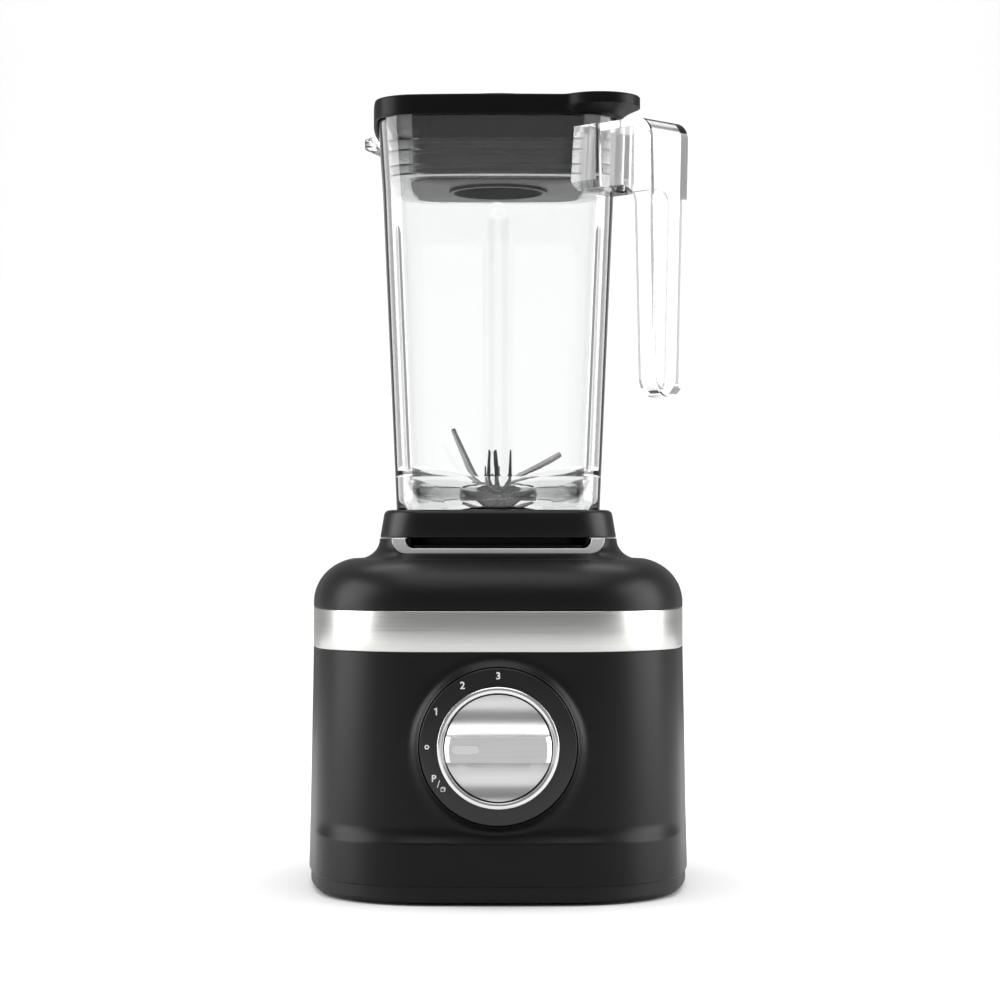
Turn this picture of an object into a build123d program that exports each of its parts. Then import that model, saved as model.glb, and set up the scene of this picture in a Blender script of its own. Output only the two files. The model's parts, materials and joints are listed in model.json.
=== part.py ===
from build123d import *
import math
import os

# Countertop blender. Millimetres, +Z up, origin on the drive axis at the plane the feet stand on.
# -Y is the front, where the control knob is. The jar handle points to the front right corner (+X, -Y).

# ---- driving dimensions: motor base ----
BASE_HALF_WIDTH = 93.8      # lower housing at its foot
BASE_FRONT = -94.3          # front of the lower housing at its foot
BASE_REAR = 110.0           # rear of the lower housing at its foot
BASE_CORNER = 56.0          # plan corner radius
BASE_SIDE_BOW = 270.0       # plan radius of the two sides
BASE_FACE_BOW = 640.0       # plan radius of front and rear
BASE_TAPER = 2.2            # how far each side draws in from the foot to the shoulder
HOUSING_WALL = 3.0
FOOT_HEIGHT = 1.5           # how far the feet stand below the base pan
SEAM_Z = 8.8                # base pan meets lower housing
LEDGE_Z = 31.0              # front panel meets the skirt
LEDGE_DEPTH = 3.0           # how far the panel sits behind the skirt at the ledge
BAND_BOTTOM_Z = 117.1
BAND_HEIGHT = 18.9
BAND_TOP_Z = BAND_BOTTOM_Z + BAND_HEIGHT
BAND_WALL = 1.2
SHOULDER_START_Z = 138.5    # the shoulder starts to curve in here
SHOULDER_RISE = 21.8        # height of the convex shoulder
SHOULDER_REACH = 24.2       # how far the convex shoulder comes in
NECK_HALF_WIDTH = 58.5      # pedestal under the jar collar
NECK_CORNER = 24.0
NECK_TOP_Z = 169.8
NECK_FLARE_WIDTH = 12.0     # concave flare between shoulder and pedestal
NECK_FLARE_HEIGHT = 9.8
NECK_WALL = 5.0

# ---- driving dimensions: control ----
DIAL_Z = 73.7
DIAL_RADIUS = 36.4
DIAL_FACE_Y = -95.6
DIAL_THICKNESS = 2.0
BOSS_FOOT_RADIUS = 42.8
BEZEL_RADIUS = 28.1
BEZEL_WIDTH = 2.9
BEZEL_FRONT_Y = -102.6
KNOB_RADIUS = 24.4
KNOB_RIM_Y = -103.0
KNOB_GRIP_Y = -112.0
KNOB_GRIP_WIDTH = 11.6
KNOB_HOLLOW = 1.4           # how far the finger hollows sink below the rim
KNOB_BEVEL = 2.0            # bevel at the two ends of the grip bar
KNOB_POINTER_LENGTH = 12.7
KNOB_POINTER_WIDTH = 4.3

# ---- driving dimensions: jar ----
JAR_FOOT_HALF = 50.1        # outside half width where it leaves the collar
JAR_WAIST_HALF = 56.9       # outside half width under the lid plug
JAR_RIM_HALF = 59.6         # outside half width at the rim
JAR_FOOT_Z = 182.0
JAR_RIM_Z = 377.1
JAR_WAIST_Z = JAR_RIM_Z - 39.1
JAR_WALL = 3.0
JAR_FLOOR_Z = 186.2         # flat middle of the floor
JAR_CORNER_FLOOR_Z = 203.0  # floor height in the four corners
JAR_FLOOR_RADIUS = 45.5
JAR_CORNER = 19.0
JAR_BOW = 420.0
RIB_WIDTH = 13.0
RIB_DEPTH = 4.0
RIB_TOP_Z = JAR_WAIST_Z - 10.0
HANDLE_REACH = 113.0        # outer face of the grip, along the corner diagonal
HANDLE_TOP_WIDTH = 27.0
HANDLE_TIP_WIDTH = 19.0
HANDLE_CHANNEL = 11.0       # depth of the grip's side walls
HANDLE_WALL = 3.2
HANDLE_TOP_Z = JAR_RIM_Z - 11.8
HANDLE_TIP_Z = HANDLE_TOP_Z - 129.7
HANDLE_ARM_Z = HANDLE_TOP_Z - 30.3        # underside of the arm
COLLAR_BOTTOM_Z = NECK_TOP_Z + 0.2
COLLAR_TOP_Z = COLLAR_BOTTOM_Z + 13.4
COLLAR_FOOT_HALF = 58.3
COLLAR_TOP_HALF = 56.0
SPOUT_REACH = 93.0
SPOUT_WIDTH = 25.0
SPOUT_DEPTH = 17.0

# ---- driving dimensions: lid ----
LID_HALF = 61.4
LID_SKIRT_Z = JAR_RIM_Z - 6.3
LID_TOP_Z = JAR_RIM_Z + 3.3
LID_WALL = 1.5
PLUG_HALF = 43.1
PLUG_BOTTOM_Z = LID_TOP_Z - 38.0
TAB_REACH = 88.0
TAB_WIDTH = 38.0
CAP_TOP_Z = LID_TOP_Z + 6.1
CAP_RADIUS = 24.0
CAP_FLANGE_RADIUS = 30.0
CAP_WALL = 2.0

# ---- fits ----
RUNNING = 0.3               # clearance between parts that move past each other
SEAT = 0.1                  # clearance between parts that are pushed together
SHAFT_FIT = 0.05            # radial clearance of a shaft in its bearing

os.makedirs("parts", exist_ok=True)


def save(name, *solids):
    """Writes one node; several solids become a group."""
    shape = solids[0] if len(solids) == 1 else Compound(children=list(solids))
    export_step(shape, f"parts/{name}.step")


def corner_centre(half_x, half_y, corner, side_radius, face_radius):
    """Centre of the corner arc that touches a side arc and a front arc from inside."""
    ax, by = half_x - side_radius, half_y - face_radius
    ra, rb = side_radius - corner, face_radius - corner
    dist = math.hypot(ax, by)
    along = (ra * ra - rb * rb + dist * dist) / (2 * dist)
    off = math.sqrt(ra * ra - along * along)
    ux, uy = -ax / dist, by / dist
    return ax + ux * along - uy * off, uy * along + ux * off


def plan(z, half_x, half_y, corner, side_radius, face_radius, centre_y=0.0):
    """A rounded square with bowed sides, made of eight tangent arcs, as a face at height z."""
    cx, cy = corner_centre(half_x, half_y, corner, side_radius, face_radius)
    ax, by = half_x - side_radius, half_y - face_radius
    side = math.atan2(cy, cx - ax)
    face = math.atan2(cy - by, cx)
    sx, sy = ax + side_radius * math.cos(side), side_radius * math.sin(side)
    fx, fy = face_radius * math.cos(face), by + face_radius * math.sin(face)
    middle = (side + face) / 2
    mx, my = cx + corner * math.cos(middle), cy + corner * math.sin(middle)
    arcs = [
        ThreePointArc((sx, -sy), (half_x, 0), (sx, sy)),
        ThreePointArc((sx, sy), (mx, my), (fx, fy)),
        ThreePointArc((fx, fy), (0, half_y), (-fx, fy)),
        ThreePointArc((-fx, fy), (-mx, my), (-sx, sy)),
        ThreePointArc((-sx, sy), (-half_x, 0), (-sx, -sy)),
        ThreePointArc((-sx, -sy), (-mx, -my), (-fx, -fy)),
        ThreePointArc((-fx, -fy), (0, -half_y), (fx, -fy)),
        ThreePointArc((fx, -fy), (mx, -my), (sx, -sy)),
    ]
    return Location((0, centre_y, z)) * Face(Wire(arcs))


def base_plan(z, inset=0.0, draw_in=0.0, set_back=0.0):
    """Base outline at height z. draw_in follows the taper, inset is a wall, set_back moves only the front."""
    front = BASE_FRONT + draw_in + inset + set_back
    rear = BASE_REAR - draw_in - inset
    return plan(
        z,
        BASE_HALF_WIDTH - draw_in - inset,
        (rear - front) / 2,
        BASE_CORNER - inset,
        BASE_SIDE_BOW - inset,
        BASE_FACE_BOW - inset,
        (rear + front) / 2,
    )


def base_draw(z):
    """How far the taper has drawn the base in at height z."""
    return BASE_TAPER * min(1.0, max(0.0, (z - SEAM_Z) / (BAND_BOTTOM_Z - SEAM_Z)))


def shoulder_plan(z, half_width, inset=0.0):
    """Outline between the band and the pedestal, morphing from the base's plan to the pedestal's."""
    band_half = BASE_HALF_WIDTH - BASE_TAPER
    t = (band_half - half_width) / (band_half - NECK_HALF_WIDTH)
    front = (1 - t) * (BASE_FRONT + BASE_TAPER) - t * NECK_HALF_WIDTH + inset
    rear = (1 - t) * (BASE_REAR - BASE_TAPER) + t * NECK_HALF_WIDTH - inset
    corner = (1 - t) * BASE_CORNER + t * NECK_CORNER
    side = (1 - t) * BASE_SIDE_BOW + t * JAR_BOW
    face = (1 - t) * BASE_FACE_BOW + t * JAR_BOW
    return plan(z, half_width - inset, (rear - front) / 2, corner - inset, side - inset, face - inset,
                (rear + front) / 2)


def square_plan(z, half, corner=JAR_CORNER, inset=0.0):
    """Outline of the jar, collar and lid family, centred on the drive axis."""
    return plan(z, half - inset, half - inset, corner - inset, JAR_BOW - inset, JAR_BOW - inset)


def on_diagonal(shape):
    """Turns a shape drawn along +X to point along the front right corner."""
    return shape.rotate(Axis.Z, -45)


def bar(x0, x1, y0, y1, z0, z1):
    """A box given by its two corners."""
    return Pos((x0 + x1) / 2, (y0 + y1) / 2, (z0 + z1) / 2) * Box(x1 - x0, y1 - y0, z1 - z0)


def disc(radius, z0, z1, x=0.0, y=0.0):
    """An upright cylinder from z0 to z1."""
    return Pos(x, y, (z0 + z1) / 2) * Cylinder(radius, z1 - z0)


def tube(outer, inner, z0, z1, x=0.0, y=0.0):
    return disc(outer, z0, z1, x, y) - disc(inner, z0 - 1, z1 + 1, x, y)


def front_disc(radius, y0, y1, x=0.0, z=DIAL_Z):
    """A cylinder along Y from y0 to y1, on the dial axis unless told otherwise."""
    return Pos(x, (y0 + y1) / 2, z) * Rot(90, 0, 0) * Cylinder(radius, abs(y1 - y0))


def four(x, y, make):
    """The same solid at four corners."""
    return [make(sx * x, sy * y) for sx in (-1, 1) for sy in (-1, 1)]


def star(z, root, tip, teeth, clearance=0.0):
    """Section of the drive spline: a round core with straight-sided teeth."""
    section = Circle(root + clearance)
    tooth = Pos((tip + clearance) / 2, 0) * Rectangle(tip + clearance, 3.6 + 2 * clearance)
    for k in range(teeth):
        section += Rot(0, 0, 360 * k / teeth) * tooth
    return Pos(0, 0, z) * section


# ================= motor base =================
MOUNT_X, MOUNT_Y = 36.0, 32.0          # motor bolts
FOOT_X, FOOT_Y = 62.0, 62.0
FOOT_RADIUS = 9.0
PAN_INSET = 0.9
PAN_FLOOR = 3.0
BASE_MID_Y = (BASE_REAR + BASE_FRONT) / 2
SCREW_X, SCREW_Y = 66.0, 40.0          # base pan screws into housing bosses
SCREW_RADIUS = 1.8
VENT_PITCH = 8.0


def base_ring(z0, z1, outer, inner):
    """An upright ring that follows the inside of the lower housing, given by its two insets."""
    ring = loft([base_plan(z, outer, draw_in=base_draw(z), set_back=LEDGE_DEPTH) for z in (z0, z1)], ruled=True)
    return ring - loft([base_plan(z, inner, draw_in=base_draw(z), set_back=LEDGE_DEPTH) for z in (z0 - 1, z1 + 1)],
                       ruled=True)


def base_pan():
    outer = loft([base_plan(FOOT_HEIGHT, PAN_INSET + 1.2), base_plan(FOOT_HEIGHT + 1.6, PAN_INSET),
                  base_plan(SEAM_Z, PAN_INSET)], ruled=True)
    wall = PAN_INSET + HOUSING_WALL + 2.4
    hollow = loft([base_plan(z, wall, set_back=LEDGE_DEPTH) for z in (FOOT_HEIGHT + PAN_FLOOR, SEAM_Z + 1)], ruled=True)
    lip_inset = HOUSING_WALL + RUNNING
    lip = base_ring(SEAM_Z - 0.5, SEAM_Z + 4, lip_inset, lip_inset + 2.6)
    pan = outer - hollow + lip
    for post in four(MOUNT_X, MOUNT_Y, lambda x, y: disc(6.5, FOOT_HEIGHT + 1, MOTOR_SEAT_Z, x, y)):
        pan += post
    for hole in four(MOUNT_X, MOUNT_Y, lambda x, y: disc(2.0, MOTOR_SEAT_Z - 14, MOTOR_SEAT_Z + 1, x, y)):
        pan -= hole
    for cut in four(FOOT_X, FOOT_Y, lambda x, y: disc(FOOT_RADIUS + SEAT, 0, FOOT_HEIGHT + 1.2, x, y + BASE_MID_Y)):
        pan -= cut
    for hole in four(SCREW_X, SCREW_Y, lambda x, y: disc(SCREW_RADIUS + SEAT, 0, 12, x, y + BASE_MID_Y)):
        pan -= hole
    for k in range(-3, 4):
        pan -= Pos(k * VENT_PITCH, 4, FOOT_HEIGHT + 1.5) * Box(3.6, 40, PAN_FLOOR + 4)
    return pan


def rubber_feet():
    return four(FOOT_X, FOOT_Y, lambda x, y: disc(FOOT_RADIUS, 0, FOOT_HEIGHT + 1.2, x, y + BASE_MID_Y))


def pan_screws():
    """Pan head screws up through the pan into the housing bosses."""
    def screw(x, y):
        y += BASE_MID_Y
        return disc(3.2, FOOT_HEIGHT - 0.6, FOOT_HEIGHT, x, y) + disc(SCREW_RADIUS, FOOT_HEIGHT - 0.1, 20, x, y)
    return four(SCREW_X, SCREW_Y, screw)


GROMMET_Z = 26.0
GROMMET_RADIUS = 7.0
CORD_BORE = 3.6
MOTOR_SEAT_Z = 34.0
BOSS_TOP_RADIUS = DIAL_RADIUS + 1.0
BOSS_FACE_Y = DIAL_FACE_Y + 0.2
BOSS_FOOT_Y = BOSS_FACE_Y + 6.4
BOSS_HOLLOW_RADIUS = 27.0
PANEL_BACK_Y = DIAL_FACE_Y + DIAL_THICKNESS + HOUSING_WALL
SWITCH_NECK = 6.0


def lower_housing():
    top_z = BAND_BOTTOM_Z
    at_ledge = base_draw(LEDGE_Z)
    skirt = loft([base_plan(SEAM_Z), base_plan(LEDGE_Z, draw_in=at_ledge)], ruled=True)
    panel = loft([base_plan(LEDGE_Z, draw_in=at_ledge, set_back=LEDGE_DEPTH),
                  base_plan(top_z, draw_in=BASE_TAPER)], ruled=True)
    shell = skirt + panel
    boss = Rot(90, 0, 0) * Cone(BOSS_FOOT_RADIUS, BOSS_TOP_RADIUS, BOSS_FOOT_Y - BOSS_FACE_Y)
    shell += Pos(0, (BOSS_FACE_Y + BOSS_FOOT_Y) / 2, DIAL_Z) * boss
    wall = HOUSING_WALL
    shell -= loft([base_plan(SEAM_Z - 0.01, wall, set_back=LEDGE_DEPTH),
                   base_plan(top_z + 0.01, wall, draw_in=BASE_TAPER, set_back=LEDGE_DEPTH)], ruled=True)
    shell -= front_disc(DIAL_RADIUS + SEAT, DIAL_FACE_Y + DIAL_THICKNESS, -120)
    shell -= front_disc(BOSS_HOLLOW_RADIUS, PANEL_BACK_Y, -80)
    shell -= front_disc(SWITCH_NECK + 4 * SEAT, -60, -120)
    shell -= front_disc(GROMMET_RADIUS + SEAT, 90, 130, 0, GROMMET_Z)
    inside = BASE_HALF_WIDTH - HOUSING_WALL - SCREW_Y ** 2 / (2 * BASE_SIDE_BOW)
    for side in (-1, 1):
        for y in (BASE_MID_Y - SCREW_Y, BASE_MID_Y + SCREW_Y):
            near, far = sorted((side * SCREW_X, side * (inside + 1)))
            shell += disc(5.0, SEAM_Z + 1.2, 22, side * SCREW_X, y) + bar(near, far, y - 1.5, y + 1.5, 14, 22)
    for hole in four(SCREW_X, SCREW_Y, lambda x, y: disc(SCREW_RADIUS + SEAT, 0, 20.4, x, y + BASE_MID_Y)):
        shell -= hole
    return shell


def cord_grommet():
    """Rubber bush in the rear wall, where the mains lead goes in."""
    outside = base_rear_at(GROMMET_Z)
    body = front_disc(GROMMET_RADIUS, outside - HOUSING_WALL - 3, outside + 2.5, 0, GROMMET_Z)
    body += front_disc(GROMMET_RADIUS + 2.4, outside + RUNNING, outside + 2.5, 0, GROMMET_Z)
    body += front_disc(GROMMET_RADIUS + 1.6, outside - HOUSING_WALL - 3, outside - HOUSING_WALL - 0.5, 0, GROMMET_Z)
    return body - front_disc(CORD_BORE, outside - 20, outside + 20, 0, GROMMET_Z)


def base_rear_at(z):
    """How far back the housing's outside is at height z, on the centre line."""
    return BASE_REAR - base_draw(z)


def trim_band():
    z0, z1 = BAND_BOTTOM_Z, BAND_BOTTOM_Z + BAND_HEIGHT
    ring = loft([base_plan(z0, draw_in=BASE_TAPER), base_plan(z1, draw_in=BASE_TAPER)], ruled=True)
    return ring - loft([base_plan(z0 - 1, BAND_WALL, draw_in=BASE_TAPER),
                        base_plan(z1 + 1, BAND_WALL, draw_in=BASE_TAPER)], ruled=True)


def shoulder_stations(wall=0.0):
    """Sections of the shoulder, a quarter ellipse, moved in by wall along its own normal."""
    band_half = BASE_HALF_WIDTH - BASE_TAPER
    stations = [shoulder_plan(BAND_TOP_Z, band_half, wall)]
    for degrees in (0, 20, 38, 54, 68, 78):
        a = math.radians(degrees)
        half = band_half - SHOULDER_REACH * (1 - math.cos(a))
        z = SHOULDER_START_Z + SHOULDER_RISE * math.sin(a)
        stations.append(shoulder_plan(z - wall * math.sin(a), half, wall * math.cos(a)))
    return stations


def flare_stations():
    """Sections of the concave flare from the shoulder up to the pedestal."""
    stations = []
    for degrees in (82, 60, 38, 18, 0):
        a = math.radians(degrees)
        half = NECK_HALF_WIDTH + NECK_FLARE_WIDTH * (1 - math.cos(a))
        stations.append(shoulder_plan(NECK_TOP_Z - NECK_FLARE_HEIGHT * math.sin(a), half))
    return stations


POCKET_HALF = 50.6          # opening in the front of the pedestal
POCKET_Z = 162.2
POCKET_CORNER = 7.0
TRIM_ARM = 6.4              # width of the trim's upright arms
TRIM_FOOT = 2.7             # height of its lower run
TRIM_FACE_Y = -57.6
PAD_HALF = NECK_HALF_WIDTH - NECK_WALL - SEAT
PAD_BOTTOM_Z = 158.7
PAD_TOP_Z = 166.4
PAD_SCREW = 43.3
PLATEAU_HALF = 45.5
PLATEAU_TOP_Z = 174.0


def pocket_outline(half, bottom, corner, depth_from, depth_to):
    """An upright U-shaped prism, open at the top, drawn in the plane of the front."""
    top = NECK_TOP_Z + 12
    section = Pos(0, (bottom + top) / 2) * Rectangle(2 * half, top - bottom)
    section = fillet(section.vertices().sort_by(Axis.Y)[:2], corner)
    prism = extrude(Plane.XZ.offset(-depth_to) * section, depth_to - depth_from)
    return prism


def upper_housing():
    shell = loft(shoulder_stations()) + loft([shoulder_stations()[-1]] + flare_stations(), ruled=True)
    shell -= loft(shoulder_stations(HOUSING_WALL)) - bar(-200, 200, -200, 200, 0, BAND_TOP_Z - 0.01)
    shell -= loft([square_plan(z, PAD_HALF + SEAT, NECK_CORNER) for z in (150, 180)])
    fitted = HOUSING_WALL + RUNNING
    shell += base_ring(BAND_BOTTOM_Z - 5, BAND_TOP_Z + 2, fitted, fitted + 2)
    shell += base_ring(BAND_TOP_Z, BAND_TOP_Z + 4, HOUSING_WALL - 1, fitted + 2)
    ledge = loft([square_plan(z, PAD_HALF + 8, NECK_CORNER + 4) for z in (PAD_BOTTOM_Z - 2.7, PAD_BOTTOM_Z - SEAT)])
    ledge -= loft([square_plan(z, PAD_HALF - 8, NECK_CORNER - 8) for z in (150, 160)])
    shell += ledge
    for hole in four(PAD_SCREW, PAD_SCREW, lambda x, y: disc(1.7, 150, 160, x, y)):
        shell -= hole
    shell -= pocket_outline(POCKET_HALF, POCKET_Z, POCKET_CORNER, -80, -50)
    return shell


def seat_trim():
    """Bright U-shaped trim in the pocket of the pedestal."""
    outer = pocket_outline(POCKET_HALF - SEAT, POCKET_Z + SEAT, POCKET_CORNER, TRIM_FACE_Y, -PAD_HALF - 2 * SEAT)
    inner = pocket_outline(POCKET_HALF - TRIM_ARM, POCKET_Z + TRIM_FOOT, POCKET_CORNER / 2, -90, -40)
    return (outer - inner) & bar(-80, 80, -70, -40, 150, NECK_TOP_Z)


def jar_pad():
    """Seat for the jar: a flange in the pedestal and a raised plateau that locates the collar."""
    pad = loft([square_plan(z, PAD_HALF, NECK_CORNER) for z in (PAD_BOTTOM_Z, PAD_TOP_Z)])
    pad += loft([square_plan(PAD_TOP_Z - 0.4, PLATEAU_HALF, 16), square_plan(PLATEAU_TOP_Z, PLATEAU_HALF - 0.5, 15.5)])
    pad -= loft([square_plan(z, PLATEAU_HALF - 3, 13) for z in (PAD_BOTTOM_Z - 1, PLATEAU_TOP_Z - 3)])
    pad += tube(23, 20, 162, PLATEAU_TOP_Z - 2)
    pad -= disc(19.0, 150, 190)
    for hole in four(PAD_SCREW, PAD_SCREW, lambda x, y: disc(1.6, 150, PAD_TOP_Z - 1.9, x, y)):
        pad -= hole
    return pad + tube(20, SEAL_RADIUS + SEAT, 162, 165)


SHAFT_RADIUS = 4.0
SEAL_RADIUS = 12.4


def shaft_seal():
    """Lip seal between the pad and the drive shaft."""
    return tube(SEAL_RADIUS, SHAFT_RADIUS + SHAFT_FIT, 162, 165.5)


def pad_screws():
    """Four screws that hold the pad down on the housing's inner ledge."""
    ledge = PAD_BOTTOM_Z - 2.7
    return four(PAD_SCREW, PAD_SCREW,
                lambda x, y: disc(1.5, ledge - 1, PAD_TOP_Z - 2, x, y) + disc(3.0, ledge - 2.1, ledge, x, y))


# ================= control =================
SHAFT_FLAT = 3.0
NUT_RADIUS = 9.4


def dial_plate():
    plate = front_disc(DIAL_RADIUS, DIAL_FACE_Y, DIAL_FACE_Y + DIAL_THICKNESS - SEAT)
    plate -= front_disc(NUT_RADIUS + 0.6, -80, -110)
    return chamfer(plate.edges().group_by(Axis.Y)[0], 0.5)


def knob_bezel():
    ring = front_disc(BEZEL_RADIUS, DIAL_FACE_Y - SEAT, BEZEL_FRONT_Y)
    ring = chamfer(ring.edges().group_by(Axis.Y)[0], 1.0)
    return ring - front_disc(BEZEL_RADIUS - BEZEL_WIDTH, -80, -120)


def knob_scoop(side):
    """What is cut away above or below the grip bar: a hollow that runs out to the rim."""
    start = side * KNOB_GRIP_WIDTH / 2
    edge = side * (KNOB_RADIUS + 1)
    front = KNOB_GRIP_Y - 1
    root = (KNOB_RIM_Y - 3.0, start + side * 0.5)
    middle = (KNOB_RIM_Y + KNOB_HOLLOW, start + side * 5)
    section = make_face([
        Line((front, start), root),
        ThreePointArc(root, middle, (KNOB_RIM_Y, edge)),
        Line((KNOB_RIM_Y, edge), (front, edge)),
        Line((front, edge), (front, start)),
    ])
    return Pos(0, 0, DIAL_Z) * extrude(Plane.YZ * section, KNOB_RADIUS + 2, both=True)


def knob():
    """Turning knob: a round skirt with a grip bar left between two finger hollows."""
    body = front_disc(KNOB_RADIUS, DIAL_FACE_Y - 0.6, KNOB_GRIP_Y)
    body = chamfer(body.edges().group_by(Axis.Y)[0], KNOB_BEVEL)
    body -= knob_scoop(-1)
    body -= knob_scoop(1)
    body -= front_disc(KNOB_RADIUS - 3, DIAL_FACE_Y + 1, DIAL_FACE_Y - 4)
    hub = front_disc(6.0, DIAL_FACE_Y - 0.6, KNOB_RIM_Y + 2)
    body += hub
    body -= front_disc(SHAFT_FLAT + SEAT, DIAL_FACE_Y + 1, DIAL_FACE_Y - 8)
    pointer = Pos(-KNOB_RADIUS + 3.1 + KNOB_POINTER_LENGTH / 2, KNOB_GRIP_Y, DIAL_Z) * Rot(90, 0, 0) * extrude(
        SlotOverall(KNOB_POINTER_LENGTH, KNOB_POINTER_WIDTH), 0.8, both=True)
    return body - pointer


def knob_pointer():
    """Inlaid mark on the grip bar."""
    return Pos(-KNOB_RADIUS + 3.1 + KNOB_POINTER_LENGTH / 2, KNOB_GRIP_Y + 0.5, DIAL_Z) * Rot(90, 0, 0) * extrude(
        SlotOverall(KNOB_POINTER_LENGTH - 0.2, KNOB_POINTER_WIDTH - 0.2), 0.25, both=True)


SWITCH_FRONT_Y = PANEL_BACK_Y + SEAT
SWITCH_BACK_Y = SWITCH_FRONT_Y + 23
TERMINAL_X = (-10, -3.4, 3.4, 10)
TERMINAL_Z = DIAL_Z - 10.6
TERMINAL_END_Y = SWITCH_BACK_Y + 6


def rotary_switch():
    """Rotary switch clamped behind the dial by its threaded neck, with its solder tags at the back."""
    body = bar(-15, 15, SWITCH_FRONT_Y, SWITCH_BACK_Y, DIAL_Z - 15, DIAL_Z + 15)
    body += front_disc(SWITCH_NECK, SWITCH_FRONT_Y + 1, DIAL_FACE_Y - 0.3)
    body -= front_disc(SHAFT_FLAT + SHAFT_FIT, SWITCH_BACK_Y - 5, -120)
    for x in TERMINAL_X:
        body += bar(x - 1.2, x + 1.2, SWITCH_BACK_Y - 1, TERMINAL_END_Y, TERMINAL_Z - 0.4, TERMINAL_Z + 0.4)
    return body


def switch_nut():
    """Nut on the switch neck, against the outside of the front panel, under the knob."""
    seat = -(DIAL_FACE_Y + DIAL_THICKNESS) + SEAT
    nut = Pos(0, 0, DIAL_Z) * extrude(Plane.XZ.offset(seat) * RegularPolygon(NUT_RADIUS, 6), 1.6)
    return nut - front_disc(SWITCH_NECK + SEAT, -80, -100)


def switch_shaft():
    return front_disc(SHAFT_FLAT, SWITCH_BACK_Y - 5.2, DIAL_FACE_Y - 7.5)


# ================= motor =================
STATOR_Z0, STATOR_Z1 = 70.0, 106.0
STATOR_HALF_X, STATOR_HALF_Y = 44.0, 40.0
BORE_RADIUS = 21.0
ARMATURE_RADIUS = 20.4
FAN_Z0, FAN_Z1 = 47.0, 58.0
FAN_RADIUS = 33.0
COMMUTATOR_RADIUS = 11.0
COMMUTATOR_Z0, COMMUTATOR_Z1 = 115.0, 127.0
LOWER_BRACKET_Z = MOTOR_SEAT_Z + 4
UPPER_BRACKET_Z = 131.0
BEARING_RADIUS = 9.0
SHAFT_BOTTOM_Z = 34.0
SHAFT_TOP_Z = 173.0
COUPLER_BASE_Z = 166.0
COUPLER_ROOT, COUPLER_TIP = 6.4, 9.6
COUPLER_TEETH = 6
COUPLER_TOP_Z = 177.4


def motor_stator():
    """Laminated field stack with two windows for the coils."""
    core = Pos(0, 0, (STATOR_Z0 + STATOR_Z1) / 2) * extrude(
        RectangleRounded(2 * STATOR_HALF_X, 2 * STATOR_HALF_Y, 9), (STATOR_Z1 - STATOR_Z0) / 2, both=True)
    core -= disc(BORE_RADIUS, 0, 200)
    for side in (-1, 1):
        core -= bar(-26, 26, min(side * 24.5, side * 30.5), max(side * 24.5, side * 30.5), 60, 120)
    for hole in four(MOUNT_X, MOUNT_Y, lambda x, y: disc(2.6, 60, 120, x, y)):
        core -= hole
    return core


def field_coils():
    coils = []
    for side in (-1, 1):
        y0, y1 = sorted((side * 24.8, side * 30.2))
        coils.append(bar(-25.5, 25.5, y0, y1, STATOR_Z0 - 7, STATOR_Z1 + 7))
    return coils


def armature_core():
    core = disc(ARMATURE_RADIUS, STATOR_Z0, STATOR_Z1) - disc(SHAFT_RADIUS, 60, 120)
    slot = Pos(ARMATURE_RADIUS - 2.5, 0, 88) * Box(6, 2.2, 40)
    for k in range(12):
        core -= Rot(0, 0, 30 * k) * slot
    return core


def armature_windings():
    """Copper end turns above and below the core."""
    return [tube(17.5, SHAFT_RADIUS + 1.5, STATOR_Z0 - 7.5, STATOR_Z0 - SEAT),
            tube(17.5, SHAFT_RADIUS + 1.5, STATOR_Z1 + SEAT, STATOR_Z1 + 7.5)]


def commutator():
    ring = tube(COMMUTATOR_RADIUS, SHAFT_RADIUS, COMMUTATOR_Z0, COMMUTATOR_Z1)
    for k in range(12):
        ring -= Rot(0, 0, 30 * k) * Pos(COMMUTATOR_RADIUS, 0, 121) * Box(1.2, 0.6, 20)
    return ring


def motor_shaft():
    return disc(SHAFT_RADIUS, SHAFT_BOTTOM_Z, SHAFT_TOP_Z)


def cooling_fan():
    fan = tube(8.0, SHAFT_RADIUS, FAN_Z0, FAN_Z1) + tube(FAN_RADIUS, SHAFT_RADIUS, FAN_Z1 - 1.6, FAN_Z1)
    blade = Pos(19.5, 0, (FAN_Z0 + FAN_Z1) / 2) * Rot(0, 0, 24) * Box(25, 1.6, FAN_Z1 - FAN_Z0)
    for k in range(9):
        fan += Rot(0, 0, 40 * k) * blade
    return fan


def drive_coupler():
    """Splined drive dog on top of the motor shaft."""
    dog = disc(11.5, COUPLER_BASE_Z, COUPLER_BASE_Z + 3)
    dog += extrude(star(COUPLER_BASE_Z, COUPLER_ROOT, COUPLER_TIP, COUPLER_TEETH), COUPLER_TOP_Z - COUPLER_BASE_Z)
    return dog - disc(SHAFT_RADIUS, 150, SHAFT_TOP_Z)


def bracket(z0, z1, bearing_z0, bearing_z1):
    """Motor end plate: a cross of arms, a bearing cup and four bolt eyes."""
    plate = disc(15, z0, z1)
    for side_x in (-1, 1):
        angle = math.degrees(math.atan2(MOUNT_Y, side_x * MOUNT_X))
        length = 2 * math.hypot(MOUNT_X, MOUNT_Y)
        plate += Pos(0, 0, (z0 + z1) / 2) * Rot(0, 0, angle) * Box(length, 11, z1 - z0)
    for eye in four(MOUNT_X, MOUNT_Y, lambda x, y: disc(7.0, z0, z1, x, y)):
        plate += eye
    plate += disc(BEARING_RADIUS + 2.5, bearing_z0, bearing_z1)
    plate -= disc(BEARING_RADIUS, bearing_z0 - 0.01, bearing_z1 + 0.01)
    for hole in four(MOUNT_X, MOUNT_Y, lambda x, y: disc(2.2, z0 - 1, z1 + 1, x, y)):
        plate -= hole
    return plate


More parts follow.
